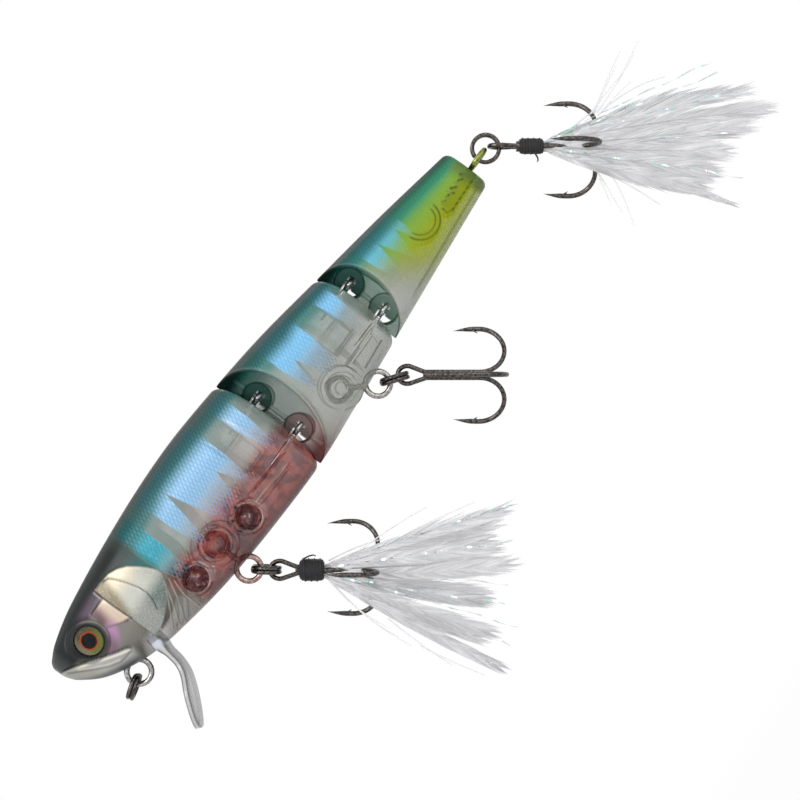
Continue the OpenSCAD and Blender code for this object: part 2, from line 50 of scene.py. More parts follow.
# Body outlines, as shares of its length and its depth or half width
BODY_L, BODY_H, BODY_W = 120.0, 24.6, 17.0
BACK = [(0, .01), (.033, .09), (.1, .171), (.25, .26), (.375, .291), (.483, .266), (.6, .215), (.717, .13),
        (.858, .025), (1, -.098)]
BELLY = [(0, -.128), (.0083, -.205), (.033, -.346), (.067, -.455), (.117, -.555), (.183, -.622),
         (.267, -.679), (.375, -.71), (.5, -.716), (.6, -.675), (.775, -.589), (1, -.48)]
WIDTH = [(0, .18), (.0167, .34), (.033, .45), (.067, .59), (.117, .73), (.183, .85), (.267, .93),
         (.375, .99), (.5, 1), (.625, .93), (.75, .82), (.875, .61), (1, .33)]
WIDEST_SHARE, UPPER_FULLNESS, LOWER_FULLNESS = .45, 2.3, 2.0
WALL = 1.4
SEAM = .012  # Each half shell stops this far from the middle plane

# Sections and their hollows: front and rear end on the middle plane, each with its lean back for the width
SECTIONS = {"head": (0, .4, 59.4, .32), "middle": (59.9, 1, 86.3, .32), "tail": (86.8, 1, 120, 0)}
HOLLOW_ROUND, HOLLOW_STEP, HOLLOW_ARCS = 1.2, .9, 40
HOLLOWS = {"head": (20, 0, 51.31, .32), "middle": (66.7, 1, 78.21, .32), "tail": (93.6, 1, 108, 0)}
END_ROUND = {"head": (.9, 1.3), "middle": (.25, 1.3), "tail": (.25, 1.2)}
# Skin mesh: ring spacing up to fine_to, ring spacing after it, fine_to, and steps round the half
GRID = {"head": (.2, .42, 27, 118), "middle": (.42, .42, 0, 84), "tail": (.16, .16, 0, 96)}
# Hinge pins: place along the body and heights of the two eyes; and the pockets and windows round the eyes
HINGES = {"middle": (62.9, (-1.1, -10.5)), "tail": (89.8, (-2.3, -10.2))}
HINGE_EYES = [(x, z) for x, heights in HINGES.values() for z in heights]
POCKET_R, POCKET_SLOT, SLOT_L, POCKET_Y, POCKET_TOP, DOME_R = 2.4, 1.6, 6, 2.2, .8, 2.75
WINDOW_R, WINDOW_END = .8, .5
# The camera: the place that it looks at, the width of the picture there, and how far off it stands. The side
# view's drawing of stripes and moulded lines has the same centre and distance, but is fixed to the body.
VIEW_CENTRE, VIEW_MM, DISTANCE = (78.1, 0, -22.5), 148.1, 335.0

# Eyes: place, radius, turn towards the nose in degrees, and depth of the socket
EYE_X, EYE_Z, EYE_R, EYE_TURN, EYE_SOCKET = 8.95, -2.8, 2.9, 13.0, 1.2
# Dip of the hooks in degrees, ballast balls along the belly and over it, and middles of hook eyes and rings
HOOK_DIP = 53.7
BALLAST_X, BALLAST_LIFT = (29.0, 44.0), 4.8
HOOK_EYES = {"front": (39.587, 0, -23.178), "middle": (82.652, 0, -20.838), "tail": (126.798, 0, -9.436)}
RINGS = {"line": (6.227, 0, -14.217), "front": (38.189, 0, -21.106), "middle": (80.656, 0, -19.334),
         "tail": (125.0, 0, -7.7)}


def in_frame(points):
    """Places as metres in the part's frame."""
    return (np.asarray(points, float) - TIE) * MM


def curve(points, x):
    """Smooth curve through points that rise in X, as in the part's source."""
    px, py = np.array(points, float).T
    n = len(px)
    lo, hi = np.maximum(np.arange(n) - 1, 0), np.minimum(np.arange(n) + 1, n - 1)
    slope = (py[hi] - py[lo]) / (px[hi] - px[lo])
    i = np.clip(np.searchsorted(px, x, side="right") - 1, 0, n - 2)
    d = px[i + 1] - px[i]
    t = (x - px[i]) / d
    return (py[i] * (1 + 2 * t) * (1 - t) ** 2 + py[i + 1] * t * t * (3 - 2 * t)
            + d * t * (1 - t) * (slope[i] * (1 - t) - slope[i + 1] * t))


def back(x):
    return BODY_H * curve(BACK, np.asarray(x, float) / BODY_L)


def belly(x):
    return BODY_H * curve(BELLY, np.asarray(x, float) / BODY_L)


def half_w(x):
    return BODY_W / 2 * curve(WIDTH, np.asarray(x, float) / BODY_L)


def section(x, a, inset):
    """Half width and height on the cross-section at angle a: the belly is at -90 degrees, the back at 90."""
    top, low = back(x) - inset, belly(x) + inset
    mid = top + (low - top) * WIDEST_SHARE
    power = np.where(a > 0, 2 / UPPER_FULLNESS, 2 / LOWER_FULLNESS)
    rise = np.abs(np.sin(a)) ** power
    y = np.maximum(half_w(x) - inset, .05) * np.maximum(np.cos(a), 0) ** power
    return y, np.where(a > 0, mid + (top - mid) * rise, mid + (low - mid) * rise)


def side_y(x, z, inset=0.0):
    """Half width of the body at a height."""
    top, low = back(x) - inset, belly(x) + inset
    mid = top + (low - top) * WIDEST_SHARE
    power = np.where(z > mid, UPPER_FULLNESS, LOWER_FULLNESS)
    share = np.clip((z - mid) / np.where(z > mid, top - mid, low - mid), 0, 1)
    return (half_w(x) - inset) * (1 - share ** power) ** (1 / power)


def eye_side():
    """Half width of the head at the eye."""
    return side_y(EYE_X, EYE_Z)


def drawn(x, y, z):
    """X and Z of the side view's drawing of points on the skin. The nearer a point, the wider it is drawn."""
    wider = DISTANCE / (DISTANCE - np.abs(y))
    return VIEW_CENTRE[0] + (x - VIEW_CENTRE[0]) * wider, VIEW_CENTRE[2] + (z - VIEW_CENTRE[2]) * wider


def ballast_z(x):
    return float(belly(x)) + BALLAST_LIFT


def smooth(x, lo, hi):
    """0 at lo, 1 at hi, smooth between them."""
    t = np.clip((x - lo) / (hi - lo), 0, 1)
    return t * t * (3 - 2 * t)


def unit(v):
    """Vectors of length 1 along the last axis."""
    return v / (np.linalg.norm(v, axis=-1, keepdims=True) + 1e-12)


def line_gap(x, z, line):
    """Distance of each point from a run of points."""
    best = np.full(np.shape(x), 1e9)
    for (x0, z0), (x1, z1) in zip(line[:-1], line[1:]):
        dx, dz = x1 - x0, z1 - z0
        t = np.clip(((x - x0) * dx + (z - z0) * dz) / (dx * dx + dz * dz), 0, 1)
        best = np.minimum(best, np.hypot(x - x0 - t * dx, z - z0 - t * dz))
    return best


def bell(off, width):
    """1 where off is 0, fading to both sides."""
    return np.exp(-(off / width) ** 2)


def side_of(value, at, line):
    """How far value lies past a line that gives it at each place."""
    px, py = np.array(sorted(line), float).T
    return value - np.interp(at, px, py)


# Lines moulded in the head, as X and Z of the drawing
GILL_EDGE = [(18.2, 2.3), (20.2, 2.1), (22, 1.3), (23.5, .1), (24.6, -1.5), (25.6, -3.2), (26.2, -4.8),
             (26.2, -6), (25.4, -7.3), (24, -8.8), (22, -10.2), (19.6, -11.4), (17.4, -12.1)]
GILL_LINE = [(18.4, 1.9), (19.5, 1.5), (20.2, .2), (20.9, -1.8), (21.5, -4), (21.65, -5.8), (21.2, -7.6),
             (20.3, -9.2)]
CHEEK_BACK = [(16.1, 2), (15.95, 0), (15.95, -3), (16.15, -6.4)]
CHEEK_TOP = [(12.3, .1), (15.9, .15)]
CHEEK_LOW = [(11.8, -3.6), (13.4, -4.7), (15, -5.7), (16.2, -6.3)]
MOUTH = [(.7, -2.0), (2.6, -3.1), (5, -4.7), (7.4, -6.5), (9.6, -8), (11.2, -8.9), (11.6, -9.5)]
LOWER_LIP = [(.9, -2.9), (2.6, -4.7), (4.6, -6.7), (6.6, -8.5), (8.6, -9.7), (11.2, -9.9)]
GILL_RAYS = [[(25.3, -7), (23.2, -10.4), (20.2, -14.4)], [(26.1, -7.6), (24.2, -11), (21.2, -15)],
             [(24, -8.6), (21.6, -11.2), (18.8, -13.9)], [(26.4, -8.6), (25.4, -11.6), (25.2, -15.2)]]
BLUSH = [(12.5, -4.2), (11.4, -5.6), (9.2, -7)]
CROWN = [(0, -3.2), (5, -3.2), (8, -2.2), (10.5, -.9), (12, .2), (16, .8), (17.5, 2), (19, 2.6), (26, 3)]
BROW_R = 3.95


def head_marks(x, z):
    """Masks of the head's lines, partly painted shade, its plates and painted highlights, and its relief's
    height over the skin.
    """
    eye_x, eye_z = drawn(EYE_X, eye_side(), EYE_Z)
    eye = np.hypot(x - eye_x, z - eye_z)
    edge = line_gap(x, z, GILL_EDGE)
    inside = (-side_of(x, z, [(q, p) for p, q in GILL_EDGE]) > 0) & (z < 2.25) & (z > -12.1)
    ahead = side_of(x, z, [(q, p) for p, q in CHEEK_BACK])
    gill = np.where(inside, smooth(edge, 0, .3), 0) * smooth(ahead, -.1, .1) * smooth(z, -12.3, -11.5)
    plate = smooth(side_of(-x, z, [(q, -p) for p, q in GILL_LINE]), -.05, .2) * (z < 1.9) * gill
    under_cheek = side_of(z, x, CHEEK_LOW)
    cheek = smooth(x, 12, 12.3) * smooth(-ahead, 0, .2) * smooth(-z, -.2, .1) * smooth(under_cheek, -.1, .2)
    mouth_gap = line_gap(x, z, MOUTH)
    jaw = smooth(-side_of(z, x, MOUTH), -.1, .2) * smooth(-x, -12.5, -10.5)
    crown = smooth(side_of(z, x, CROWN), -.9, .7) * (1 - jaw) * smooth(-x, -27, -23)

    def groove(line, width, right=0.0, up=0.0):
        return bell(line_gap(x, z, [(p + right, q + up) for p, q in line]), width)

    # Dark lines: the grooves, the brow's groove, the step outside the gill cover's edge and a line beside
    # each gill ray's ridge are painted shade; the eye's socket and the zone round it are dark too
    lines = np.maximum.reduce([
        .8 * groove(GILL_LINE, .12), .65 * groove(CHEEK_BACK, .15), .85 * groove(CHEEK_TOP, .13),
        .45 * groove(CHEEK_LOW, .15), .8 * groove(CHEEK_LOW[2:], .2), .95 * bell(mouth_gap, .2),
        .45 * groove(LOWER_LIP, .2), .7 * bell(eye - BROW_R - .1, .17),
        .8 * smooth(eye, 4.05, 3.7), smooth(eye, EYE_R + .5, EYE_R + .25),
        .5 * np.where(inside, 0, bell(edge, .2)), *[.5 * groove(ray, .12, right=.28) for ray in GILL_RAYS]])
    height = (.26 * gill + .1 * plate + .14 * cheek - .12 * groove(GILL_LINE, .16)
              - .14 * groove(CHEEK_BACK, .2) - .12 * groove(CHEEK_TOP, .16) - .4 * bell(mouth_gap, .26)
              + .2 * groove(MOUTH, .45, up=-.75) - .12 * groove(LOWER_LIP, .25)
              + .08 * bell(eye - 3.45, .42) - .16 * bell(eye - BROW_R - .2, .2)
              + sum(.12 * groove(ray, .22) for ray in GILL_RAYS))
    # Painted highlights on the gill rays' ridges, the jaw, the lower lip, beside the cheek's back groove and
    # on the brow's right
    glint = np.maximum.reduce([
        *[.38 * groove(ray, .12) for ray in GILL_RAYS],
        .9 * groove(MOUTH[1:6], .22, up=-.62) * smooth(x, 1.5, 4),
        .6 * groove(LOWER_LIP[1:5], .18, up=.55), .5 * groove(CHEEK_BACK, .14, right=-.35),
        .8 * bell(eye - 3.72, .12) * smooth(x - eye_x, .6, 2.6) * smooth(z - eye_z, -3.4, -1),
        .05 * bell(eye - 3.62, .16)])
    blush = smooth(line_gap(x, z, BLUSH), 1.9, .3)
    return {"lines": lines, "gill": gill, "cheek": cheek, "jaw": jaw, "crown": crown, "glint": glint,
            "blush": blush}, height


# Ribs that meet the skin, as dark lines and as pale lines of painted highlight in the drawing
RIB_LINES = {"head": [[(50.6, -7.6), (55.9, -7.6)], [(51, -2.1), (55.6, -2.1)], [(50.2, 2), (50.6, -7.6)]],
             "middle": [[(77.8, -4), (82.7, -4)], [(77.7, -7.8), (83.6, -7.8)], [(83, -1), (83.4, -7.8)]],
             "tail": []}
RIB_GLINTS = {"head": [[(56.2, 1.9), (55.9, -7.6)], [(47.2, -12.2), (56, -12.6)]],
              "middle": [[(81.6, -10.7), (85, -10.6)]], "tail": []}
# Lines in the tail: the boss of the two shells (X, Z and radius), and the box and thread of the hanger's stem
TAIL_BOSS = (107.2, -5.8, 3.7)
TAIL_STEM = [(119, -9.2), (112, -9.5), (111.2, -8.9), (111.3, -8)]
TAIL_THREAD = [(112.4 + i * .5, -6.9 - .75 * (i % 2) + .3 * math.sin(i * 2.3)) for i in range(14)]


def tail_lines(x, z):
    """Dark lines in the clear plastic: the boss, the hanger's stem and the wall along the belly."""
    boss_x, boss_z, r = TAIL_BOSS
    off = np.hypot(x - boss_x, z - boss_z)
    shown = smooth(z, boss_z + .4, boss_z - .8)
    rings = shown * np.maximum(.85 * bell(off - r, .22), .8 * bell(off - r + .9, .18))
    broken = .8 + .2 * np.sin(x * 5.1 + z * 3.3)
    stem, thread = [bell(line_gap(x, z, line), .3) for line in (TAIL_STEM, TAIL_THREAD)]
    worn = np.clip(.6 + .55 * np.sin(x * 3.7 + z * 5.1), 0, 1)
    filled = .38 * smooth(x, 111.2, 112) * smooth(z, -9.6, -9.2) * smooth(z, -6.8, -7.3)
    wall = .45 * bell(z - belly(x) - 1.3, .22) * smooth(x, 94, 98)
    return np.maximum.reduce([rings, stem * broken, thread * worn, filled, wall])


def stations(ends, rounds, fine, coarse, fine_to):
    """Share of the way along a section and inset of each ring: rounded ends, and rings between them."""
    length = ends[2] - ends[0]
    arc = np.radians(np.linspace(0, 90, 7))
    front = [(rounds[0] * (1 - math.cos(t)), rounds[0] * (1 - math.sin(t))) for t in arc]
    rear = [(length - rounds[1] * (1 - math.cos(t)), rounds[1] * (1 - math.sin(t))) for t in arc[::-1]]
    inner, d = [], rounds[0]
    while True:
        d += fine if d < fine_to else coarse
        if d > length - rounds[1] - coarse / 2:
            break
        inner.append((d, 0.0))
    return np.array([(d / length, inset) for d, inset in front + inner + rear])


def half_grid(ends, rings, arcs, relief=False, inset=0.0):
    """Points of the +Y half of a section, ring by arc."""
    u, extra = rings[:, :1], rings[:, 1:] + inset
    a = np.radians(np.linspace(-90, 90, arcs + 1))[None, :]
    y = np.zeros((len(rings), arcs + 1))
    for _ in range(6):
        x = (ends[0] + ends[1] * y) * (1 - u) + (ends[2] + ends[3] * y) * u
        y, z = section(x, a + 0 * x, extra + 0 * x)
    grid = np.stack([x, y, z], -1)
    if relief:
        normal = unit(np.cross(np.gradient(grid, axis=0), np.gradient(grid, axis=1)))
        fade = smooth(np.abs(np.degrees(a)), 88, 78) * np.ones_like(x)
        grid -= normal * (head_marks(*drawn(x, y, z))[1] * fade)[..., None]
    return grid


def half_solid(ends, rings, arcs, left, kinds, relief=False, inset=0.0, seam=SEAM):
    """Closed half of a section: points, faces and face kinds. kinds is for skin, seam, front and rear."""
    grid = half_grid(ends, rings, arcs, relief, inset)
    grid[:, 0, 1] = grid[:, -1, 1] = seam
    grid[:, 1:-1, 1] = np.maximum(grid[:, 1:-1, 1], seam)
    n, m = grid.shape[:2]
    at = np.arange(n * m).reshape(n, m)
    skin = np.stack([at[:-1, :-1], at[1:, :-1], at[1:, 1:], at[:-1, 1:]], -1).reshape(-1, 4).tolist()
    flat = np.stack([at[:-1, 0], at[:-1, -1], at[1:, -1], at[1:, 0]], -1).tolist()
    faces = skin + flat + [at[0].tolist(), at[-1, ::-1].tolist()]
    kind = [kinds[0]] * len(skin) + [kinds[1]] * len(flat) + [kinds[2], kinds[3]]
    points = grid.reshape(-1, 3)
    if left:
        points = points * [1, -1, 1]
    else:
        faces = [f[::-1] for f in faces]
    return points, faces, kind


# Small mesh tools


def tube_faces(rings, sides, closed=False):
    """Quads of a tube of rings. A closed tube ends where it starts; an open one has caps."""
    faces = []
    for i in range(rings if closed else rings - 1):
        j = (i + 1) % rings
        faces += [(i * sides + k, i * sides + (k + 1) % sides, j * sides + (k + 1) % sides, j * sides + k)
                  for k in range(sides)]
    if not closed:
        faces += [tuple(range(sides))[::-1], tuple(range((rings - 1) * sides, rings * sides))]
    return faces


def about(points, degrees, i, j):
    """Turns points in the plane of two axes, from axis i towards axis j."""
    c, s = math.cos(math.radians(degrees)), math.sin(math.radians(degrees))
    turned = np.array(points, float)
    a, b = turned[:, i].copy(), turned[:, j].copy()
    turned[:, i], turned[:, j] = a * c - b * s, a * s + b * c
    return turned


def circle(sides):
    return np.linspace(0, 2 * math.pi, sides, endpoint=False)


def bezier(a, b, c, t):
    t = np.asarray(t)[:, None]
    return np.array(a) * (1 - t) ** 2 + np.array(b) * 2 * t * (1 - t) + np.array(c) * t * t


def sweep(path, radius, sides, plane=None):
    """Tube along a path; plane is the normal of a flat path, which keeps the tube from turning."""
    path = np.asarray(path, float)
    n = len(path)
    radius = np.broadcast_to(np.asarray(radius, float), (n,))
    way = unit(np.gradient(path, axis=0))
    if plane is None:
        out = [unit(np.cross(way[0], [.3, .5, .8]))]
        for t in way[1:]:
            out.append(unit(out[-1] - t * (out[-1] @ t)))
        out = np.array(out)
    else:
        out = np.broadcast_to(np.asarray(plane, float), way.shape)
    across = np.cross(way, out)
    turn = circle(sides)
    ring = out[:, None] * np.cos(turn)[None, :, None] + across[:, None] * np.sin(turn)[None, :, None]
    return (path[:, None] + ring * radius[:, None, None]).reshape(-1, 3), tube_faces(n, sides)


def joined(parts):
    """Several (points, faces) as one."""
    points, faces, start = [], [], 0
    for p, f in parts:
        points.append(np.asarray(p, float))
        faces += [tuple(i + start for i in face) for face in f]
        start += len(p)
    return np.concatenate(points), faces


def random_tones(parts):
    """A tone for each part, on each of its points."""
    return np.concatenate([np.full(len(p), DRAW.random()) for p, _ in parts])


def tip_share(points):
    """How far along its barb each point of a part lies. The points run along one edge, then the other."""
    n = len(points) // 2
    return np.concatenate([np.linspace(0, 1, n), np.linspace(0, 1, len(points) - n)])


def slab(x0, z0, x1, z1, half_y, thick):
    """Flat rib between two points of the side view, reaching across the body."""
    along = unit(np.array([x1 - x0, 0, z1 - z0], float))
    off = np.array([-along[2], 0, along[0]]) * thick / 2
    a, b = np.array([x0, 0, z0], float), np.array([x1, 0, z1], float)
    wide = np.array([0, half_y, 0])
    points = [p + s * off + w * wide for p in (a, b) for s in (-1, 1) for w in (-1, 1)]
    faces = [(0, 1, 3, 2), (4, 6, 7, 5), (0, 4, 5, 1), (2, 3, 7, 6), (0, 2, 6, 4), (1, 5, 7, 3)]
    return np.array(points), faces


RIB_TALL, RIB_SUNK = .9, .2


def both_sides(points, faces):
    """A part of the right shell and its mirror image in the left one."""
    points = np.asarray(points, float)
    return joined([(points * [1, sign, 1], [f[::sign] for f in faces]) for sign in (-1, 1)])


def wall_rib(x0, z0, x1, z1, thick):
    """Ribs on the inner walls of both shells, along a line of the side view."""
    steps = 7
    share = np.linspace(0, 1, steps)
    x, z = x0 + (x1 - x0) * share, z0 + (z1 - z0) * share
    wall = side_y(x, z, WALL)
    off = np.array([z0 - z1, x1 - x0]) / math.hypot(x1 - x0, z1 - z0) * thick / 2
    corners = ((-1, -RIB_TALL), (1, -RIB_TALL), (1, RIB_SUNK), (-1, RIB_SUNK))
    points = [(x[i] + k * off[0], wall[i] + y, z[i] + k * off[1]) for i in range(steps) for k, y in corners]
    return both_sides(points, tube_faces(steps, 4))


def collar(x, z, outer, inner, tall):
    """Round collars on the inner walls of both shells, their axis across the body."""
    profile, sides, least_y = ((outer, -tall), (outer, RIB_SUNK), (inner, RIB_SUNK), (inner, -tall)), 48, .1
    points = []
    for t in circle(sides):
        c, s = math.cos(t), math.sin(t)
        wall = float(side_y(x + outer * c, z + outer * s, WALL))
        points += [(x + r * c, max(wall + y, least_y), z + r * s) for r, y in profile]
    return both_sides(points, tube_faces(sides, 4, closed=True))


def new_object(name, points, faces, materials, kind=None, sharp=35):
    me = bpy.data.meshes.new(name)
    me.from_pydata(in_frame(points).tolist(), [], [tuple(f) for f in faces])
    for m in materials:
        me.materials.append(m)
    if kind is not None:
        me.polygons.foreach_set("material_index", kind)
    finish_mesh(me, sharp)
    ob = bpy.data.objects.new(name, me)
    SCENE.collection.objects.link(ob)
    return ob


def finish_mesh(me, sharp):
    me.validate()
    me.polygons.foreach_set("use_smooth", [True] * len(me.polygons))
    me.set_sharp_from_angle(angle=math.radians(sharp))
    me.update()


def set_field(me, name, values):
    field = me.attributes.get(name) or me.attributes.new(name, "FLOAT", "POINT")
    field.data.foreach_set("value", np.asarray(values, np.float32))


def dress(ob, body, slot, *nodes):
    """Sets a piece on its body and hides the CAD nodes that it stands for; its finish, slot, is not used."""
    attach(ob, body)
    if nodes:
        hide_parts(*nodes)
    return ob


def paint_node(name, material):
    """New finish for a node that keeps its CAD shape."""
    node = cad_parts[name]
    node.data.materials.clear()
    node.data.materials.append(material)


def cut_away(ob, cutters, sharp=35):
    """Takes the cutters out of a mesh for good."""
    for cutter in cutters:
        m = ob.modifiers.new("cut", "BOOLEAN")
        m.object, m.operation, m.solver = cutter, "DIFFERENCE", "MANIFOLD"
    done = bpy.data.meshes.new_from_object(ob.evaluated_get(bpy.context.evaluated_depsgraph_get()))
    ob.modifiers.clear()
    ob.data = done
    for cutter in cutters:
        bpy.data.objects.remove(cutter)
    finish_mesh(done, sharp)


# Materials, written as arithmetic on shader sockets


class Num:
    """A number on the surface."""

    def __init__(self, paint, out):
        self.paint, self.out = paint, out

    def __add__(self, other):
        return self.paint.math("ADD", self, other)

    def __sub__(self, other):
        return self.paint.math("SUBTRACT", self, other)

    def __rsub__(self, other):
        return self.paint.math("SUBTRACT", other, self)

    def __mul__(self, other):
        return self.paint.math("MULTIPLY", self, other)

    __radd__, __rmul__ = __add__, __mul__

    def abs(self):
        return self.paint.math("ABSOLUTE", self)

    def max(self, other):
        return self.paint.math("MAXIMUM", self, other)

    def min(self, other):
        return self.paint.math("MINIMUM", self, other)

    def off(self):
        return 1 - self


class Paint:
    """One node material round a Principled shader. Sockets are set by name, with _ for a space."""

    def __init__(self, name, **plain):
        self.material = bpy.data.materials.new(name)
        self.material.use_nodes = True
        self.nodes = self.material.node_tree.nodes
        self.links = self.material.node_tree.links
        self.shader = self.nodes["Principled BSDF"]
        self.output = self.nodes["Material Output"]
        for key, value in plain.items():
            self.set(key, value)

    def add(self, kind, **settings):
        node = self.nodes.new("ShaderNode" + kind)
        for key, value in settings.items():
            setattr(node, key, value)
        return node

    def put(self, socket, value):
        if isinstance(value, Num):
            self.links.new(value.out, socket)
        elif isinstance(value, (tuple, list)):
            socket.default_value = (*value, 1) if len(socket.default_value) == 4 else value
        else:
            socket.default_value = value

    def set(self, key, value):
        name = key.replace("_", " ")
        self.put(next(s for s in self.shader.inputs if s.name.lower() == name), value)

    def math(self, kind, a, b=None):
        node = self.add("Math", operation=kind)
        self.put(node.inputs[0], a)
        if b is not None:
            self.put(node.inputs[1], b)
        return Num(self, node.outputs[0])

    def place(self):
        """X, Y and Z in millimetres from the nose."""
        split = self.add("SeparateXYZ")
        self.links.new(self.add("TexCoord").outputs["Object"], split.inputs[0])
        return [Num(self, split.outputs[i]) * 1000 + float(TIE[i]) for i in range(3)]

    def drawn(self):
        """X and Z in the side view's drawing, as the function of that name gives them."""
        x, y, z = self.place()
        wider = self.math("DIVIDE", DISTANCE, DISTANCE - y.abs())
        return [(v - VIEW_CENTRE[i]) * wider + VIEW_CENTRE[i] for i, v in ((0, x), (2, z))]

    def normal(self):
        """The three parts of the surface's own normal."""
        split = self.add("SeparateXYZ")
        self.links.new(self.add("TexCoord").outputs["Normal"], split.inputs[0])
        return [Num(self, split.outputs[i]) for i in range(3)]

    def field(self, name):
        """A number that the mesh carries on its points."""
        return Num(self, self.add("Attribute", attribute_name=name).outputs["Fac"])

    def rise(self, value, lo, hi):
        """0 below lo, 1 above hi, smooth between them."""
        node = self.add("MapRange", interpolation_type="SMOOTHSTEP")
        self.put(node.inputs["Value"], value)
        self.put(node.inputs["From Min"], lo)
        self.put(node.inputs["From Max"], hi)
        return Num(self, node.outputs["Result"])

    def band(self, value, lo, full, still, hi):
        """0 below lo and above hi, 1 from full to still, smooth between them."""
        return self.rise(value, lo, full) * self.rise(value, hi, still)

    def mix(self, share, a, b):
        """Colour a where share is 0, b where it is 1."""
        node = self.add("Mix", data_type="RGBA")
        for socket, value in zip((node.inputs[0], node.inputs[6], node.inputs[7]), (share, a, b)):
            self.put(socket, value)
        return Num(self, node.outputs[2])

    def layers(self, colour, *rows):
        """Colour with further colours laid over it, each with its share."""
        for share, over in rows:
            colour = self.mix(share, colour, over)
        return colour

    def gap(self, x, z, at_x, at_z):
        """Distance from a place, in the plane of two axes."""
        return self.math("SQRT", (x - at_x) * (x - at_x) + (z - at_z) * (z - at_z))

    def most(self, values):
        """The largest of several numbers at each place."""
        first, *others = values
        for other in others:
            first = first.max(other)
        return first

    def noise(self, scale, detail=3, stretch=(1, 1, 1)):
        """Noise on the object, its scale in waves a metre."""
        place = self.add("Mapping")
        self.links.new(self.add("TexCoord").outputs["Object"], place.inputs["Vector"])
        place.inputs["Scale"].default_value = stretch
        node = self.add("TexNoise")
        self.links.new(place.outputs[0], node.inputs["Vector"])
        self.put(node.inputs["Scale"], scale)
        self.put(node.inputs["Detail"], detail)
        return Num(self, node.outputs["Fac"])

    def bump(self, height, strength, depth):
        node = self.add("Bump")
        self.put(node.inputs["Height"], height)
        self.put(node.inputs["Strength"], strength)
        self.put(node.inputs["Distance"], depth)
        self.links.new(node.outputs[0], self.shader.inputs["Normal"])

    def facing(self, blend):
        node = self.add("LayerWeight")
        node.inputs["Blend"].default_value = blend
        return Num(self, node.outputs["Facing"])

    def show_mix(self, share, first, second):
        """Shows the first shader where share is 0 and the second where it is 1."""
        pick = self.add("MixShader")
        self.put(pick.inputs[0], share)
        for socket, shader in zip(pick.inputs[1:], (first, second)):
            self.links.new(shader.outputs[0], socket)
        self.links.new(pick.outputs[0], self.output.inputs["Surface"])

    def pass_lamps(self):
        """Lets lamp rays through clear plastic, so that what is behind it is lit."""
        shadow = Num(self, self.add("LightPath").outputs["Is Shadow Ray"])
        self.show_mix(shadow, self.shader, self.add("BsdfTransparent"))


def hatch(p, x, z):
    """Fine crossed lines of the moulded scales."""
    def ruled(way):
        phase = p.math("FRACT", (x + z * way) * 1.3)
        return p.rise((phase - .5).abs(), .17, .04)
    return ruled(-.62).max(ruled(.25) * .7)


# Stripes: middle, half width, low end and how strong the bare scale lines under it are; and the clear notches
# cut into them: tip and widening
STRIPES = [(28.4, 2.1, -7.6, .85), (36.2, 2.2, -6.6, .85), (44.6, 6.2, -6.6, .85), (57.2, 1.65, -6.2, .85),
           (73.7, 4.15, -6.4, .85), (84.8, 1.75, -6, .3), (97, 1.85, -7, .3), (101.9, 3, -6.8, .3)]
NOTCHES = [(38.4, 2.4, .2), (47.3, -2.8, .27), (72.5, -2.2, .24), (99.0, -2, .24), (103, -3, .3)]
MARKS = ("lines", "gill", "cheek", "jaw", "crown", "glint", "blush")


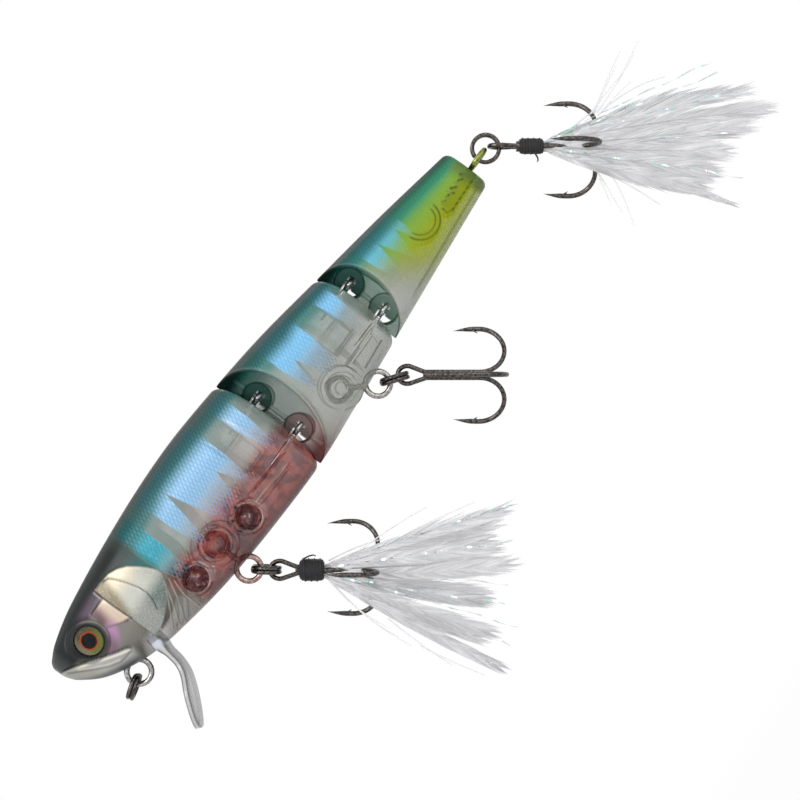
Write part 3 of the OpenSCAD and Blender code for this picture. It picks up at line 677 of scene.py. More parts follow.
def shell_paint():
    p = Paint("painted_shell", coat_weight=.04, coat_roughness=.1, specular_ior_level=.17)
    x, z = p.drawn()
    down = p.field("down")
    lines, gill, cheek, jaw, crown, glint, blush = [p.field(n) for n in MARKS]
    scales = hatch(p, x, z)
    grain_and_sheen = p.noise(1500, 4)
    cloud = p.noise(160, 2)
    wave = (cloud - .5) * 2.4

    # Clear plastic, the red belly of the head and the yellow-green tail
    upper = p.rise(z, -9.5, -5.5)
    warm = p.rise(z, -.5, -4.5) * p.band(x, 33, 39, 56, 61)
    ends = p.band(x, 58.3, 60.6, 62.5, 64) + p.band(x, 85.4, 87.6, 89.5, 90.5)
    red = p.rise(z + wave, -5.2, -8.6) * p.band(x, 20, 29, 58, 70)
    mottle = p.rise(p.noise(420, 3), .42, .6)
    seat = red * p.rise(down, .74, .86) * p.band(x, 34.5, 37, 41, 44)
    green = p.rise(x + (z + 9) * .5, 91.5, 103.5)
    lime = p.layers(
        (.03, .26, .12),
        (p.rise(down, .2, .45), (.18, .34, .03)),
        (p.rise(down, .4, .72), (.33, .385, .0)),
        # Darker at the tail's end: painted shade of the end cap
        (p.rise(x, 116.5, 119.5), (.1, .18, .03)),
        (p.rise(down, .8, 1.02), (.31, .355, .15)))
    colour = p.layers(
        p.mix(cloud, (.15, .165, .13), (.23, .245, .19)),
        (upper, p.mix(cloud, (.28, .335, .31), (.36, .415, .385))),
        (p.rise(down, .42, .2) * p.rise(x, 60, 66), (.12, .3, .27)),
        (warm, (.43, .4, .375)),
        (p.rise(x, 63, 66) * p.rise(z, -5, -8) * .4, (.42, .43, .38)),
        (ends * .5, (.07, .12, .09)),
        (red, p.mix(mottle, (.13, .006, .008), (.33, .055, .036))),
        (red * p.rise(down, .9, 1), (.07, .008, .008)),
        (seat * .6, (.05, .004, .006)),
        (green, lime))
    alpha = upper * red.off() * .2 + p.rise(down, .8, 1) * .1 + red * .18 + .42
    alpha = alpha + green * p.rise(down, 1.08, .7) * .34
    # Ballast seats, which are solid clear plastic, with dark flecks as painted shade on the upper front side
    # of the rim
    flecks = p.rise(p.noise(900, 2), .5, .6)
    for at in BALLAST_X:
        off = p.gap(x, z, at, ballast_z(at))
        rim = p.rise((off - 2.85).abs(), .55, .2) * p.rise((z - ballast_z(at)) * .8 - (x - at) * .6, .4, 1.8)
        colour = p.mix(rim * flecks, colour, (.012, .022, .028))
        alpha = alpha - p.rise(off, 3.0, 2.4) * .4 + rim * flecks * .6
    # Stripes, which end in bare scale lines
    blur = p.rise(down, .25, .12) * .5 + .12
    stripes = []
    for middle, half, low, bare in STRIPES:
        taper = p.rise(z, low - 3, low + 5) * .7 + (half - .7)
        shown = p.rise(z, low - .2, low + 4.8).max(scales * p.rise(z, low - 4, low + .4) * bare)
        stripes.append(p.rise((taper - (x - middle).abs()) + blur, 0, blur * 2) * shown)
    stripe = p.most(stripes)
    for tip_x, tip_z, widen in NOTCHES:
        inside = (tip_z - z) * widen - (x - tip_x).abs()
        stripe = stripe * p.rise(inside, -.1, .1).off()
    blue = p.layers(
        (.06, .36, .44),
        (p.rise(x, 30, 34), (.275, .495, .665)),
        (p.rise(x, 60, 70), (.19, .49, .7)),
        (p.rise(x, 88, 98), (.09, .42, .45)),
        (p.rise(x, 100, 105), (.11, .38, .27)),
        (scales * .75, p.mix(p.rise(x, 30, 34), (.04, .22, .32), (.15, .28, .62))),
        # Pale flecks from the grain: painted sheen on the stripes
        (p.rise(grain_and_sheen, .55, .8) * .2, (.6, .75, .85)))
    # Teal shoulders and the thin dark back
    edge = down + p.band(x, 74, 79, 86, 92) * .045 - p.rise(x, 60, 104) * .035 - p.rise(x, 40, 31) * .055
    teal = p.rise(edge, .29, .14) * p.rise(x, 23, 27)
    shoulder = p.layers(
        p.mix(p.rise(down, .06, .2), (.006, .062, .056), (.022, .15, .155)),
        (p.rise(x, 98, 110), p.mix(p.rise(down, .05, .2), (.012, .075, .05), (.03, .21, .12))),
        (scales * (p.rise(x, 86, 92) * -.45 + .7), (.006, .035, .036)))
    top = p.rise(down + wave * .004, .085, .02)
    # Head: silver cheeks, dark crown, champagne gill cover, pale jaw, and dark teal up to the first stripe
    face = p.rise(x + z * .25, 25, 20.5)
    neck = p.band(x, 16.5, 18.5, 25.6, 27.6) * p.rise(z, -7, -3.4)
    purple = p.band(x, 8, 12, 15, 18.5) * p.rise(down, .1, .22)
    shaded = p.layers(
        (.014, .017, .017),
        (purple, (.085, .056, .085)),
        (p.rise(x, 3.4, 1.2), (.05, .055, .055)))
    chops = p.layers(
        (.36, .36, .32),
        (p.rise(x, 3, 6), (.45, .45, .43)),
        (p.rise(down, .84, .97), (.1, .1, .11)))
    shine = p.layers(
        (.53, .54, .48),
        (p.rise(z, -4, .4), (.74, .635, .47)),
        (p.rise(x - z * .3, 19.6, 17.6), (.25, .205, .13)),
        (p.rise(x + z * .2, 21.5, 24.5) * .4, (.3, .31, .27)),
        (p.rise(z, -4.4, -7.6), p.mix(p.rise(x, 19, 22.5), (.28, .29, .268), (.105, .15, .14))),
        (p.rise(p.noise(5200, 2), .4, .7) * .22, (.92, .91, .85)))
    plate = p.layers(
        (.17, .1, .115),
        (p.rise(x - z * .25, 13, 15.6), (.66, .53, .42)),
        (p.rise(z, -2.2, -4.2) * p.rise(x, 15, 13) * .6, (.5, .3, .42)))
    ending = p.rise(x, 117.4, 118.4) * p.rise(z, -9.4, -10.2)
    colour = p.layers(
        colour,
        (stripe, blue),
        (teal * .94, shoulder),
        (top, (.028, .036, .032)),
        (face, p.mix(p.rise(z, -12.5, -6), (.17, .17, .142), (.22, .205, .187))),
        (neck * .96, p.mix(p.rise(z, 2, -2.5), (.028, .042, .038), (.028, .14, .135))),
        (blush * .96, p.mix(p.rise(x, 10, 12.6), (.2, .125, .165), (.44, .24, .41))),
        (crown, shaded),
        (jaw, chops),
        (gill, shine),
        (cheek, plate),
        # Painted highlights, then dark lines, which are partly painted shade in grooves and at the wedges'
        # edges
        (glint, (.8, .75, .65)),
        (lines, p.mix(p.rise(x, 95, 101), (.012, .014, .014), (.045, .068, .004))),
        (ending * .8, (.1, .13, .03)))
    alpha = alpha + stripe * .58 + teal * .55 + top * .55 + neck * .5 + blush * .4 + ending * .2
    alpha = alpha + face * p.rise(z, -12.5, -8.5) * .45 - p.rise(p.gap(x, z, 15.6, -12.2), 3.2, 1.4) * .2
    alpha = alpha + (gill + cheek + crown + lines + jaw + glint) * .6
    rim = p.facing(.3)
    p.set("base_color", colour)
    p.set("alpha", (alpha + rim * rim * .3).max(.05).min(.99))
    p.set("metallic", gill * .15 + cheek * .15 + stripe * .1)
    p.set("roughness", top * .4 + .3)
    p.bump(scales * .6 + grain_and_sheen * .05, p.rise(x, 20, 27) * .3 + .05, .00012)
    return p.material


def belly_tint(p, x, z, clear, red, green):
    """Tint of the plastic: clear, red in the belly of the head and yellow-green in the tail."""
    tint = p.mix(p.rise(z, -5.8, -8.4) * p.rise(x, 70, 58), clear, red)
    return p.mix(p.rise(x, 92, 104), tint, green)


def clear_wall():
    p = Paint("clear_wall", roughness=.12, specular_ior_level=.6)
    x, _, z = p.place()
    p.set("base_color", belly_tint(p, x, z, (.15, .22, .195), (.26, .03, .03), (.26, .36, .01)))
    p.set("alpha", p.rise(p.noise(500), .3, .8) * .06 + .13)
    return p.material


def eye_windows(p, x, z):
    """Clear places over the hinge eyes, round ended and open to the joint."""
    shown = []
    for at, height in HINGE_EYES:
        off = p.gap((x - (at + WINDOW_END)).max(0), z, 0, height)
        shown.append(p.rise(off, WINDOW_R + .2, WINDOW_R - .1) * p.rise((x - at).abs(), 6, 5))
    return p.most(shown)


def joint_face():
    """Wedge and notch faces at the joints: dark teal above, clear between, red under the front joint."""
    p = Paint("joint_face", roughness=.12, specular_ior_level=.5)
    x, _, z = p.place()
    rear = p.rise(x, 75, 76)
    high = p.rise(z + rear * 2.8, -3.4, 2.4)
    dark = p.rise(z + rear * 2.8, 2.2, 4.6)
    red = p.rise(z, -13, -16) * rear.off()
    blush = p.rise(z, -9, -13) * rear.off()
    colour = p.layers(
        (.09, .145, .115),
        (rear, (.022, .155, .088)),
        (high, (.0, .08, .064)),
        (dark, (.002, .012, .008)),
        (blush, (.2, .06, .05)),
        (red, (.12, .004, .006)))
    body = (high * .26 + dark * .2 + red * .28 + p.noise(300) * .1 + .46).min(.99)
    low = p.rise(z, -5, -8)
    dome = p.mix(low, (.028, .075, .062), p.mix(rear, (.19, .13, .12), (.11, .19, .15)))
    for at, height in HINGE_EYES:
        off = p.gap(x, z, at, height)
        inside = p.rise(off, DOME_R + .1, DOME_R - .1)
        rim = p.rise((off - DOME_R).abs(), .3, .05)
        colour = p.layers(colour, (inside, dome), (rim * .7, (.004, .014, .012)))
        body = (body + inside * .3 + rim * .25).min(.97)
    p.set("base_color", colour)
    p.set("alpha", body * (eye_windows(p, x, z) * -.85 + 1))
    p.pass_lamps()
    return p.material


def pin_steel():
    """Hinge pin: pale in the plastic that holds it, which is painted light, and grey in the pockets."""
    p = Paint("hinge_pin", roughness=.4)
    x, _, z = p.place()
    wear = p.noise(2500, 3)
    bare = p.most([p.rise((x - at).abs(), 3, 2) * p.rise((z - height).abs(), 3.2, 2.8)
                   for at, height in HINGE_EYES])
    pale = p.mix(wear, (.62, .72, .66), (.76, .86, .8))
    p.set("base_color", p.mix(bare, pale, p.mix(wear, (.3, .33, .31), (.46, .49, .47))))
    p.set("metallic", bare * .5 + .05)
    return p.material


def pocket_wall():
    """Pocket round a hinge eye: dark side walls, and tinted ends that show the eye."""
    p = Paint("pocket_wall", roughness=.16, specular_ior_level=.4)
    x, _, z = p.place()
    end = p.rise(p.normal()[1].abs(), .6, .95)
    rear = p.rise(x, 75, 76)
    low = p.rise(z, -5, -8)
    p.set("base_color", p.mix(low, (.008, .04, .032), p.mix(rear, (.11, .07, .065), (.07, .13, .1))))
    alpha = end * -.3 + low * -.1 + .82 + p.noise(400) * .05
    p.set("alpha", alpha * (end * eye_windows(p, x, z) * -.85 + 1))
    p.pass_lamps()
    return p.material


def rib_plastic():
    """Moulded ribs: nearly clear faces, with thin lines where they end against the shells."""
    p = Paint("moulded_rib", roughness=.15, specular_ior_level=.4)
    x, _, z = p.place()
    edge = p.rise(p.normal()[1].abs(), .6, .95)
    bright = p.field("bright")
    pale = belly_tint(p, x, z, (.4, .46, .42), (.5, .22, .18), (.3, .38, .05))
    dark = belly_tint(p, x, z, (.1, .125, .105), (.1, .02, .016), (.07, .1, .004))
    # Bright ribs get pale faces there instead: painted highlights
    dark = p.mix(bright, dark, belly_tint(p, x, z, (.8, .84, .82), (.85, .6, .56), (.6, .7, .2)))
    p.set("base_color", p.mix(edge, pale, dark))
    p.set("alpha", edge * (bright * .3 + .4) + p.noise(700) * .05 + .03)
    return p.material


def wire(name, pale, dark, roughness):
    """Metal wire, worn in places."""
    p = Paint(name, metallic=1.0)
    wear = p.noise(2500, 4)
    p.set("base_color", p.mix(p.rise(wear, .35, .68), dark, pale))
    p.set("roughness", wear * .18 + roughness)
    p.bump(wear, .12, .00005)
    return p.material


def ballast_metal():
    """Ball seen through the red belly: dark above as painted shade, with bright spots of painted reflection.
    """
    p = Paint("ballast_ball", metallic=.6)
    tailward, _, upward = p.normal()
    painted_shade_front_top = p.rise(upward * .8 - tailward * .5, .2, .75)
    spots = p.noise(1150, 3)
    p.set("base_color", p.layers(
        (.045, .06, .066),
        (p.rise(spots, .4, .56), (.2, .2, .205)),
        (p.rise(spots, .56, .64), (.85, .5, .5)),
        (painted_shade_front_top * p.rise(spots, .62, .44), (.01, .014, .018))))
    p.set("roughness", spots * .25 + .12)
    return p.material


def clear_dome():
    """Clear lens: seen straight through, with a gloss that grows towards its rim."""
    p = Paint("eye_clear", metallic=1.0)
    cloud = p.noise(900, 2)
    p.set("base_color", p.mix(cloud, (.9, .93, .95), (1, 1, 1)))
    p.set("roughness", cloud * .04 + .02)
    gloss = p.facing(.4)
    p.show_mix(gloss * gloss * gloss * .12 + .003, p.add("BsdfTransparent"), p.shader)
    return p.material


def lip_with_painted_light():
    """Clear plate, painted grey as refraction, with painted highlights at its edges and root and painted
    shade beside the edges.
    """
    p = Paint("lip_clear", roughness=.1, specular_ior_level=.6, coat_weight=.3, coat_roughness=.04)
    cloud = p.noise(260, 3)
    _, _, z = p.place()
    across = p.field("across").abs()
    root = p.rise(z, -15.4, -13.4)
    p.set("base_color", p.layers(
        (.075, .075, .07),
        (cloud, (.12, .12, .113)),
        (p.rise(across, .88, .92), (.04, .04, .04)),
        (p.rise(across, .94, .96), (.3, .3, .3)),
        (p.rise(across, .985, .995), (.5, .505, .505)),
        (root * p.rise(cloud, .35, .6), (.55, .58, .66))))
    p.set("alpha", p.rise(across, .86, .93) * .3 + cloud * .1 + root * .2 + .62)
    return p.material


def eye_print(sign):
    """Printed disc: pupil, red ring, iris and black rim."""
    p = Paint("eye_print", roughness=.5, specular_ior_level=.1)
    x, y, z = p.place()
    dx, dy, dz = x - EYE_X, y - sign * float(eye_side()), z - EYE_Z
    r = p.math("SQRT", dx * dx + dz * dz + dy * dy)
    streak = p.noise(2600, 3)
    p.set("base_color", p.layers(
        (.065, .05, .03),
        (p.rise(dz - dx * .3, 1.6, -1.8), (.125, .15, .03)),
        (p.rise(dx, -.4, -2.2) * .6, (.24, .21, .15)),
        (p.rise(streak, .4, .7) * .4, (.13, .135, .05)),
        (p.rise(r, 1.9, 1.74), (.36, .05, .012)),
        (p.rise(r, 1.72, 1.46), (.005, .005, .006)),
        (p.rise(r, 2.7, 2.82), (.004, .004, .004))))
    return p.material


def thread_black():
    p = Paint("thread", roughness=.62, specular_ior_level=.35)
    fibre = p.noise(5200, 4, (1, 1, .3))
    p.set("base_color", p.mix(fibre, (.006, .006, .007), (.035, .035, .038)))
    p.bump(fibre, .5, .00008)
    return p.material


def feather_white():
    p = Paint("feather", roughness=.6, specular_ior_level=.2)
    tone = (p.field("tone") * .6 + p.noise(260, 2) * .5).min(1)
    tip = p.field("tip")
    p.set("base_color", p.mix(tone, (.36, .36, .375), (.82, .82, .83)))
    p.set("alpha", tip * tip * -.25 + .84)
    p.pass_lamps()
    return p.material


def tinsel_pearl():
    p = Paint("tinsel", metallic=.75, roughness=.16)
    a, b = p.noise(900, 1), p.noise(1300, 1)
    p.set("base_color", p.layers(
        (.66, .68, .68),
        (p.rise(a, .55, .62), (.42, .78, .6)),
        (p.rise(b, .6, .68), (.5, .76, .86)),
        (p.rise(b, .4, .32), (.82, .72, .77))))
    p.set("alpha", p.rise(a, .3, .6) * .45 + .5)
    return p.material


# A shell's finishes, and the place of each in its list
SHELL_FINISHES = [shell_paint(), clear_wall(), joint_face(), pocket_wall()]
SKIN, CLEAR, JOINT, POCKET = range(4)
RIB = rib_plastic()
NICKEL = wire("black_nickel", (.14, .127, .117), (.035, .031, .029), .22)
STEEL = wire("bright_wire", (.5, .485, .47), (.22, .21, .2), .14)
# The front hanger's pink is a painted reflection of the red belly
PINK_REFLECTION_WIRE = wire("pink_reflection_wire", (.48, .35, .33), (.2, .125, .115), .14)
# Yellow-green wire for the tail's hanger
YELLOW_GREEN_WIRE = wire("tinted_wire", (.34, .37, .09), (.12, .135, .035), .2)
HINGE = wire("hinge_steel", (.98, .98, .96), (.7, .7, .68), .1)
PIN = pin_steel()
BALLAST = ballast_metal()

# Body sections
CUTTER_SIDES, SOCKET_CUT_L = 56, 8


def cutter(points, faces, kind):
    """Solid to take out of a shell; the cut's walls get the finish of that kind."""
    return new_object("cutter", points, faces, SHELL_FINISHES, [kind] * len(faces))


def pocket_cutters(x, z):
    """Round pocket for a hinge eye, closed over the eye, and the slot for the eye's stem."""
    points, faces = sweep([(x, -POCKET_Y, z), (x, POCKET_Y, z)], POCKET_R, CUTTER_SIDES)
    points[:, 2] = np.minimum(points[:, 2], z + POCKET_TOP)
    return [cutter(points, faces, POCKET),
            cutter(*slab(x - SLOT_L, z, x, z, POCKET_Y, POCKET_SLOT), POCKET)]


def eye_frame(left):
    """Centre of an eye on the skin and its outward axis."""
    sign = -1 if left else 1
    turn = math.radians(EYE_TURN)
    centre = np.array([EYE_X, sign * float(eye_side()), EYE_Z])
    return centre, np.array([-math.sin(turn), sign * math.cos(turn), 0])


def shell(body, left):
    """Half shell: skin with its relief, cut out inside, with the fields that its paint reads."""
    ends, name = SECTIONS[body], f"{body}_shell_{'left' if left else 'right'}"
    head = body == "head"
    fine, coarse, fine_to, arcs = GRID[body]
    rings = stations(ends, END_ROUND[body], fine, coarse, fine_to)
    kinds = (SKIN, CLEAR, SKIN if head else JOINT, JOINT)
    points, faces, kind = half_solid(ends, rings, arcs, left, kinds, relief=head)
    ob = new_object(name + "_skin", points, faces, SHELL_FINISHES, kind)
    inner = stations(HOLLOWS[body], (HOLLOW_ROUND, HOLLOW_ROUND), HOLLOW_STEP, HOLLOW_STEP, 0)
    points, faces, _ = half_solid(HOLLOWS[body], inner, HOLLOW_ARCS, left, [CLEAR] * 4, inset=WALL, seam=-1.0)
    cutters = [cutter(points, faces, CLEAR)]
    if body in HINGES:
        x, heights = HINGES[body]
        cutters += [one for z in heights for one in pocket_cutters(x, z)]
    if head:
        centre, axis = eye_frame(left)
        low = centre - axis * EYE_SOCKET
        socket = sweep([low, low + axis * SOCKET_CUT_L], EYE_R + .05, CUTTER_SIDES)
        cutters.append(cutter(*socket, SKIN))
    cut_away(ob, cutters)
    place = np.array([v.co for v in ob.data.vertices]) / MM + TIE
    x, y, z = place.T
    set_field(ob.data, "down", (back(x) - z) / (back(x) - belly(x)))
    seen = drawn(x, y, z)
    marks = head_marks(*seen)[0] if head else dict.fromkeys(MARKS, 0 * x)
    if not head:
        # At a wedge's front edge: a dark line of painted shade in the edge, and a painted highlight just
        # behind it
        past = x - ends[0] - ends[1] * np.abs(y)
        marks["lines"] = .6 * bell(past, .16)
        marks["glint"] = (.5 if body == "middle" else .1) * bell(past - .36, .12)
    # Dark lines of the ribs, and pale lines along others that are painted highlights
    for field, runs, share in (("lines", RIB_LINES[body], .5), ("glint", RIB_GLINTS[body], .45)):
        for run in runs:
            marks[field] = np.maximum(marks[field], share * bell(line_gap(*seen, run), .16))
    if body == "tail":
        marks["lines"] = np.maximum(marks["lines"], tail_lines(*seen))
    for field, values in marks.items():
        set_field(ob.data, field, values)
    return dress(ob, body, body + "_plastic", name)


for body in SECTIONS:
    for left in (True, False):
        shell(body, left)

# Ribs inside the shells: two ends in the side view, and thickness. Collars round bosses: middle, outer and
# inner radius, and height. The bright ones catch the light
RIBS = {
    "head": [(50.4, 2.6, 50.4, -7.6, .26), (55.6, 2.2, 55.6, -7.6, .26), (50.4, -2.4, 55.6, -2.4, .24),
             (50.4, -7.8, 55.6, -7.8, .24), (47.6, -10.4, 57.4, -11, .3), (55.9, -12.6, 55.9, -15.6, .3),
             (33.4, -4.1, 49.6, -4.1, .16), (46.4, -10.2, 46.4, -15.4, .2), (33.2, -14, 34.4, -16, .26),
             (38.4, -16, 39.6, -14, .26)],
    "middle": [(77.7, 1.2, 77.7, -7.8, .26), (82.9, 1, 82.9, -7.8, .26), (77.7, -4.2, 82.9, -4.2, .24),
               (77.7, -7.9, 82.9, -7.9, .24), (77.4, -10.6, 85.6, -10.6, .3), (77.4, -10.6, 77.4, -14.2, .28),
               (79, -13.8, 85, -13.2, .28), (68.5, -5.2, 76.8, -5.2, .16)],
    "tail": [(94, -6, 100, -6.6, .16)],
}
COLLARS = {
    "head": [(36.4, -10.95, 4.2, 3.95, .9), (36.4, -10.95, 2.9, 2.65, .9), (36.4, -10.95, 1.5, 1, 4.6)]
    + [(x, ballast_z(x), 3.35, 3.05, 2.2) for x in BALLAST_X],
    "middle": [(73.5, -12.4, 4.2, 4, .5), (73.5, -12.4, 2.4, 2.15, .5)],
    "tail": [(*TAIL_BOSS[:2], 3.6, 3.3, .6)],
}
BRIGHT_RIBS = {
    "head": [(46.9, -12.1, 55.7, -12.4, .34), (47.4, -13.2, 55.2, -13.4, .18)],
    "middle": [(78.4, -11.3, 84.6, -11.2, .26), (84.9, -11.2, 83.6, -14.2, .22)],
}
BRIGHT_COLLARS = {"middle": [(73.5, -12.4, 3.2, 2.9, .6), (73.5, -12.4, 1.4, 1.1, .6)]}


def rib_parts(body, ribs, collars):
    return [wall_rib(*rib) for rib in ribs.get(body, [])] + [collar(*ring) for ring in collars.get(body, [])]


for body in SECTIONS:
    dull, bright = rib_parts(body, RIBS, COLLARS), rib_parts(body, BRIGHT_RIBS, BRIGHT_COLLARS)
    points, faces = joined(dull + bright)
    ribs = new_object(body + "_ribs", points, faces, [RIB], sharp=30)
    set_field(ribs.data, "bright", np.arange(len(points)) >= len(joined(dull)[0]))
    dress(ribs, body, body + "_plastic")

# Eyes: a printed disc under a clear dome
LENS = clear_dome()
LENS_R, LENS_RISE, LENS_FLOOR, LENS_SIDES = EYE_R - .03, .9, -.47, 64


def lens_mesh(centre, axis):
    """Domed lens with a flat back, as rings of its profile round the axis."""
    across, up = np.cross(axis, [0, 0, 1]), np.array([0, 0, 1])
    ball_r = (LENS_R ** 2 + LENS_RISE ** 2) / (2 * LENS_RISE)
    radii = LENS_R * np.linspace(.02, 1, 16)
    profile = [(r, math.sqrt(ball_r ** 2 - r ** 2) - ball_r + LENS_RISE) for r in radii]
    profile += [(LENS_R, LENS_FLOOR), (radii[0], LENS_FLOOR)]
    points = np.array([centre + axis * h + r * (across * math.cos(t) + up * math.sin(t))
                       for t in circle(LENS_SIDES) for r, h in profile])
    at = np.arange(len(points)).reshape(LENS_SIDES, -1)
    after = np.roll(at, -1, 0)
    faces = np.stack([at[:, :-1], at[:, 1:], after[:, 1:], after[:, :-1]], -1).reshape(-1, 4).tolist()
    return points, faces + [at[::-1, 0].tolist(), at[:, -1].tolist()]


for left in (True, False):
    side = "left" if left else "right"
    paint_node("eye_disc_" + side, eye_print(-1 if left else 1))
    lens = new_object(f"eye_lens_{side}_dome", *lens_mesh(*eye_frame(left)), [LENS], sharp=40)
    dress(lens, "head", "eye_clear", "eye_lens_" + side)

# Diving lip: a bent plate with rounded edges. Root, bend and tip in the side view; half width of its neck,
# radius of its round end and half thickness
LIP_ROOT, LIP_BEND, LIP_TIP = np.array([16, -11.3]), np.array([14.9, -19.5]), np.array([7.25, -28.6])
LIP_NECK, LIP_R, LIP_HALF_T = 3.5, 6.8, .7


def lip_mesh():
    """Points and faces of the lip, and how far across the plate each point lies."""
    leg, paddle = LIP_BEND - LIP_ROOT, LIP_TIP - LIP_BEND
    leg_l, paddle_l = np.linalg.norm(leg), np.linalg.norm(paddle)
    leg, paddle = leg / leg_l, paddle / paddle_l
    soft, sides = 2.4, 56
    path = [LIP_ROOT + leg * s for s in np.linspace(0, leg_l - soft, 10)]
    start, end = path[-1], LIP_BEND + paddle * soft
    path += [*bezier(start, LIP_BEND, end, np.linspace(.08, .92, 11))]
    path += [end + paddle * s for s in np.linspace(0, paddle_l - soft, 44)]
    path = np.array(path)
    way = unit(np.gradient(path, axis=0))
    run = np.concatenate([[0], np.cumsum(np.linalg.norm(np.diff(path, axis=0), axis=1))])
    from_tip = run[-1] - run
    round_w = np.sqrt(np.maximum(LIP_R ** 2 - np.maximum(LIP_R - from_tip, 0) ** 2, .02))
    neck = LIP_NECK + (LIP_R - LIP_NECK) * smooth(run, leg_l - 1.5, run[-1] - LIP_R)
    block = 1 + .75 * smooth(run, 4.6, 2.4)
    turn = circle(sides)
    points = []
    for p, w, h, swell in zip(path, way, np.minimum(neck, round_w), block):
        thick = LIP_HALF_T * swell * min(1, h / 1.2)
        for t in turn:
            c, s = math.cos(t), math.sin(t)
            y = h * math.copysign(abs(c) ** .35, c)
            off = thick * math.copysign(abs(s) ** .6, s)
            points.append((p[0] - w[1] * off, y, p[1] + w[0] * off))
    return np.array(points), tube_faces(len(path), sides), np.tile(np.cos(turn), len(path))


points, faces, across = lip_mesh()
lip = new_object("diving_lip_clear", points, faces, [lip_with_painted_light()], sharp=50)
set_field(lip.data, "across", across)
dress(lip, "head", "lip_clear", "diving_lip")

# Wires and balls that keep their CAD shape
for name, finish in (("line_tie_eye", STEEL), ("front_hook_hanger", PINK_REFLECTION_WIRE), ("middle_hook_hanger", STEEL),
                     ("tail_hook_hanger", YELLOW_GREEN_WIRE)):
    paint_node(name, finish)
for place in ("front", "rear"):
    for piece, finish in (("hinge_pin", PIN), ("hinge_upper_eye", HINGE), ("hinge_lower_eye", HINGE),
                          ("ballast_ball", BALLAST)):
        paint_node(f"{place}_{piece}", finish)

# Split rings: two turns of one wire, RING_GAP apart, from RING_START to RING_END in turns
RING_GAP, RING_START, RING_END, RING_WIRE_R = .75, .12, 1.97, .4
WIRE_SIDES = 14


def split_ring(centre, r, tilt, flat):
    """tilt turns the ring's own plane about Y; a flat ring lies in the side view's plane."""
    t = np.linspace(RING_START, RING_END, 150)
    turn = t * 2 * math.pi
    lift = (smooth(t, .93, 1.07) - .5) * RING_GAP
    path = np.stack([-r * np.cos(turn), r * np.sin(turn), lift], 1)
    width = RING_WIRE_R * np.minimum(1, np.minimum(t - RING_START, RING_END - t) * 16 + .55)
    points, faces = sweep(path, width, WIRE_SIDES)
    if flat:
        points = points[:, [0, 2, 1]] * [1, 1, -1]
    return about(points, tilt, 2, 0) + np.array(centre), faces


for which, piece, r, tilt, flat in (("line", "tie_ring", 2.2, 163, False),
                                    ("front", "split_ring", 2.5, 56, False),
                                    ("middle", "split_ring", 2.5, 37, False),
                                    ("tail", "split_ring", 2.5, 0, True)):
    name = f"{which}_{piece}"
    coil = new_object(name + "_coil", *split_ring(RINGS[which], r, tilt, flat), [NICKEL], sharp=60)
    dress(coil, which + "_ring", "black_nickel", name)

# Treble hooks. The taper starts TAPER_AT along the spear, which runs back from the bend to the point
SHANK_L, BEND_R, WIRE_R, STRAND_R, EYE_LOOP = 13.4, 4.7, .45, .62, 1.65
SPEAR_L, TAPER_AT = 4.75, 1.6


def on_hook(points, at):
    """From the hook's own frame, with the shank along X, to its place."""
    return about(points, HOOK_DIP, 2, 0) + np.array(at)


def about_shank(points, degrees):
    return about(points, degrees, 1, 2)


def prong():
    """One bend with its spear, barb and point."""
    run = [(x, STRAND_R) for x in np.linspace(3.2, SHANK_L - .6, 8)]
    turn = np.radians(np.linspace(-90, 90, 34))
    run += [(SHANK_L + BEND_R * math.cos(t), STRAND_R + BEND_R + BEND_R * math.sin(t)) for t in turn]
    top = STRAND_R + 2 * BEND_R
    run += [(SHANK_L - s, top - .021 * s * s) for s in np.linspace(.4, SPEAR_L, 14)]
    path = np.array([(x, 0, z) for x, z in run])
    past = np.maximum(0, SHANK_L - TAPER_AT - path[:, 0]) * (path[:, 2] > 6)
    taper = np.maximum(.07, 1 - (past / (SPEAR_L - TAPER_AT)) ** 1.15)
    width = WIRE_R * (1 + .05 * (path[:, 2] > 8)) * taper
    barb_root = np.array([SHANK_L - 1.15, 0, top - .2])
    barb = [barb_root, barb_root + [.45, 0, -.34], barb_root + [.95, 0, -.78]]
    spear = sweep(path, width, WIRE_SIDES, plane=(0, 1, 0))
    return joined([spear, sweep(barb, [.26, .17, .03], 8, plane=(0, 1, 0))])


def hook_eye(turned):
    """Drop-shaped eye closed on to the shank."""
    arc = np.radians(np.linspace(62, 298, 40))
    loop = np.stack([EYE_LOOP * 1.08 * np.cos(arc), EYE_LOOP * np.sin(arc)], 1)
    start, end = np.array([3.5, .42]), np.array([3.9, -.42])
    share = np.linspace(0, .92, 10)[:, None]
    legs = start + (loop[0] - start) * share, end + (loop[-1] - end) * share[::-1]
    x, z = np.concatenate([legs[0], loop, legs[1]]).T
    points, faces = sweep(np.stack([x, 0 * x, z], 1), WIRE_R, WIRE_SIDES, plane=(0, 1, 0))
    return about_shank(points, turned), faces


def hook(which, eye_turn):
    """Treble hook of three prongs, a core between their shanks and the eye."""
    one = prong()
    parts = [(about_shank(one[0], 90 + 120 * k), one[1]) for k in range(3)]
    core = [(x, 0, 0) for x in np.linspace(2.9, SHANK_L - .2, 10)]
    parts += [hook_eye(eye_turn), sweep(core, np.linspace(.55, .68, 10), 12)]
    points, faces = joined(parts)
    name = which + "_treble_hook"
    ob = new_object(name + "_barbed", on_hook(points, HOOK_EYES[which]), faces, [NICKEL], sharp=60)
    dress(ob, which + "_hook", "black_nickel", name)


for which, eye_turn in (("front", 0), ("middle", 0), ("tail", 90)):
    hook(which, eye_turn)

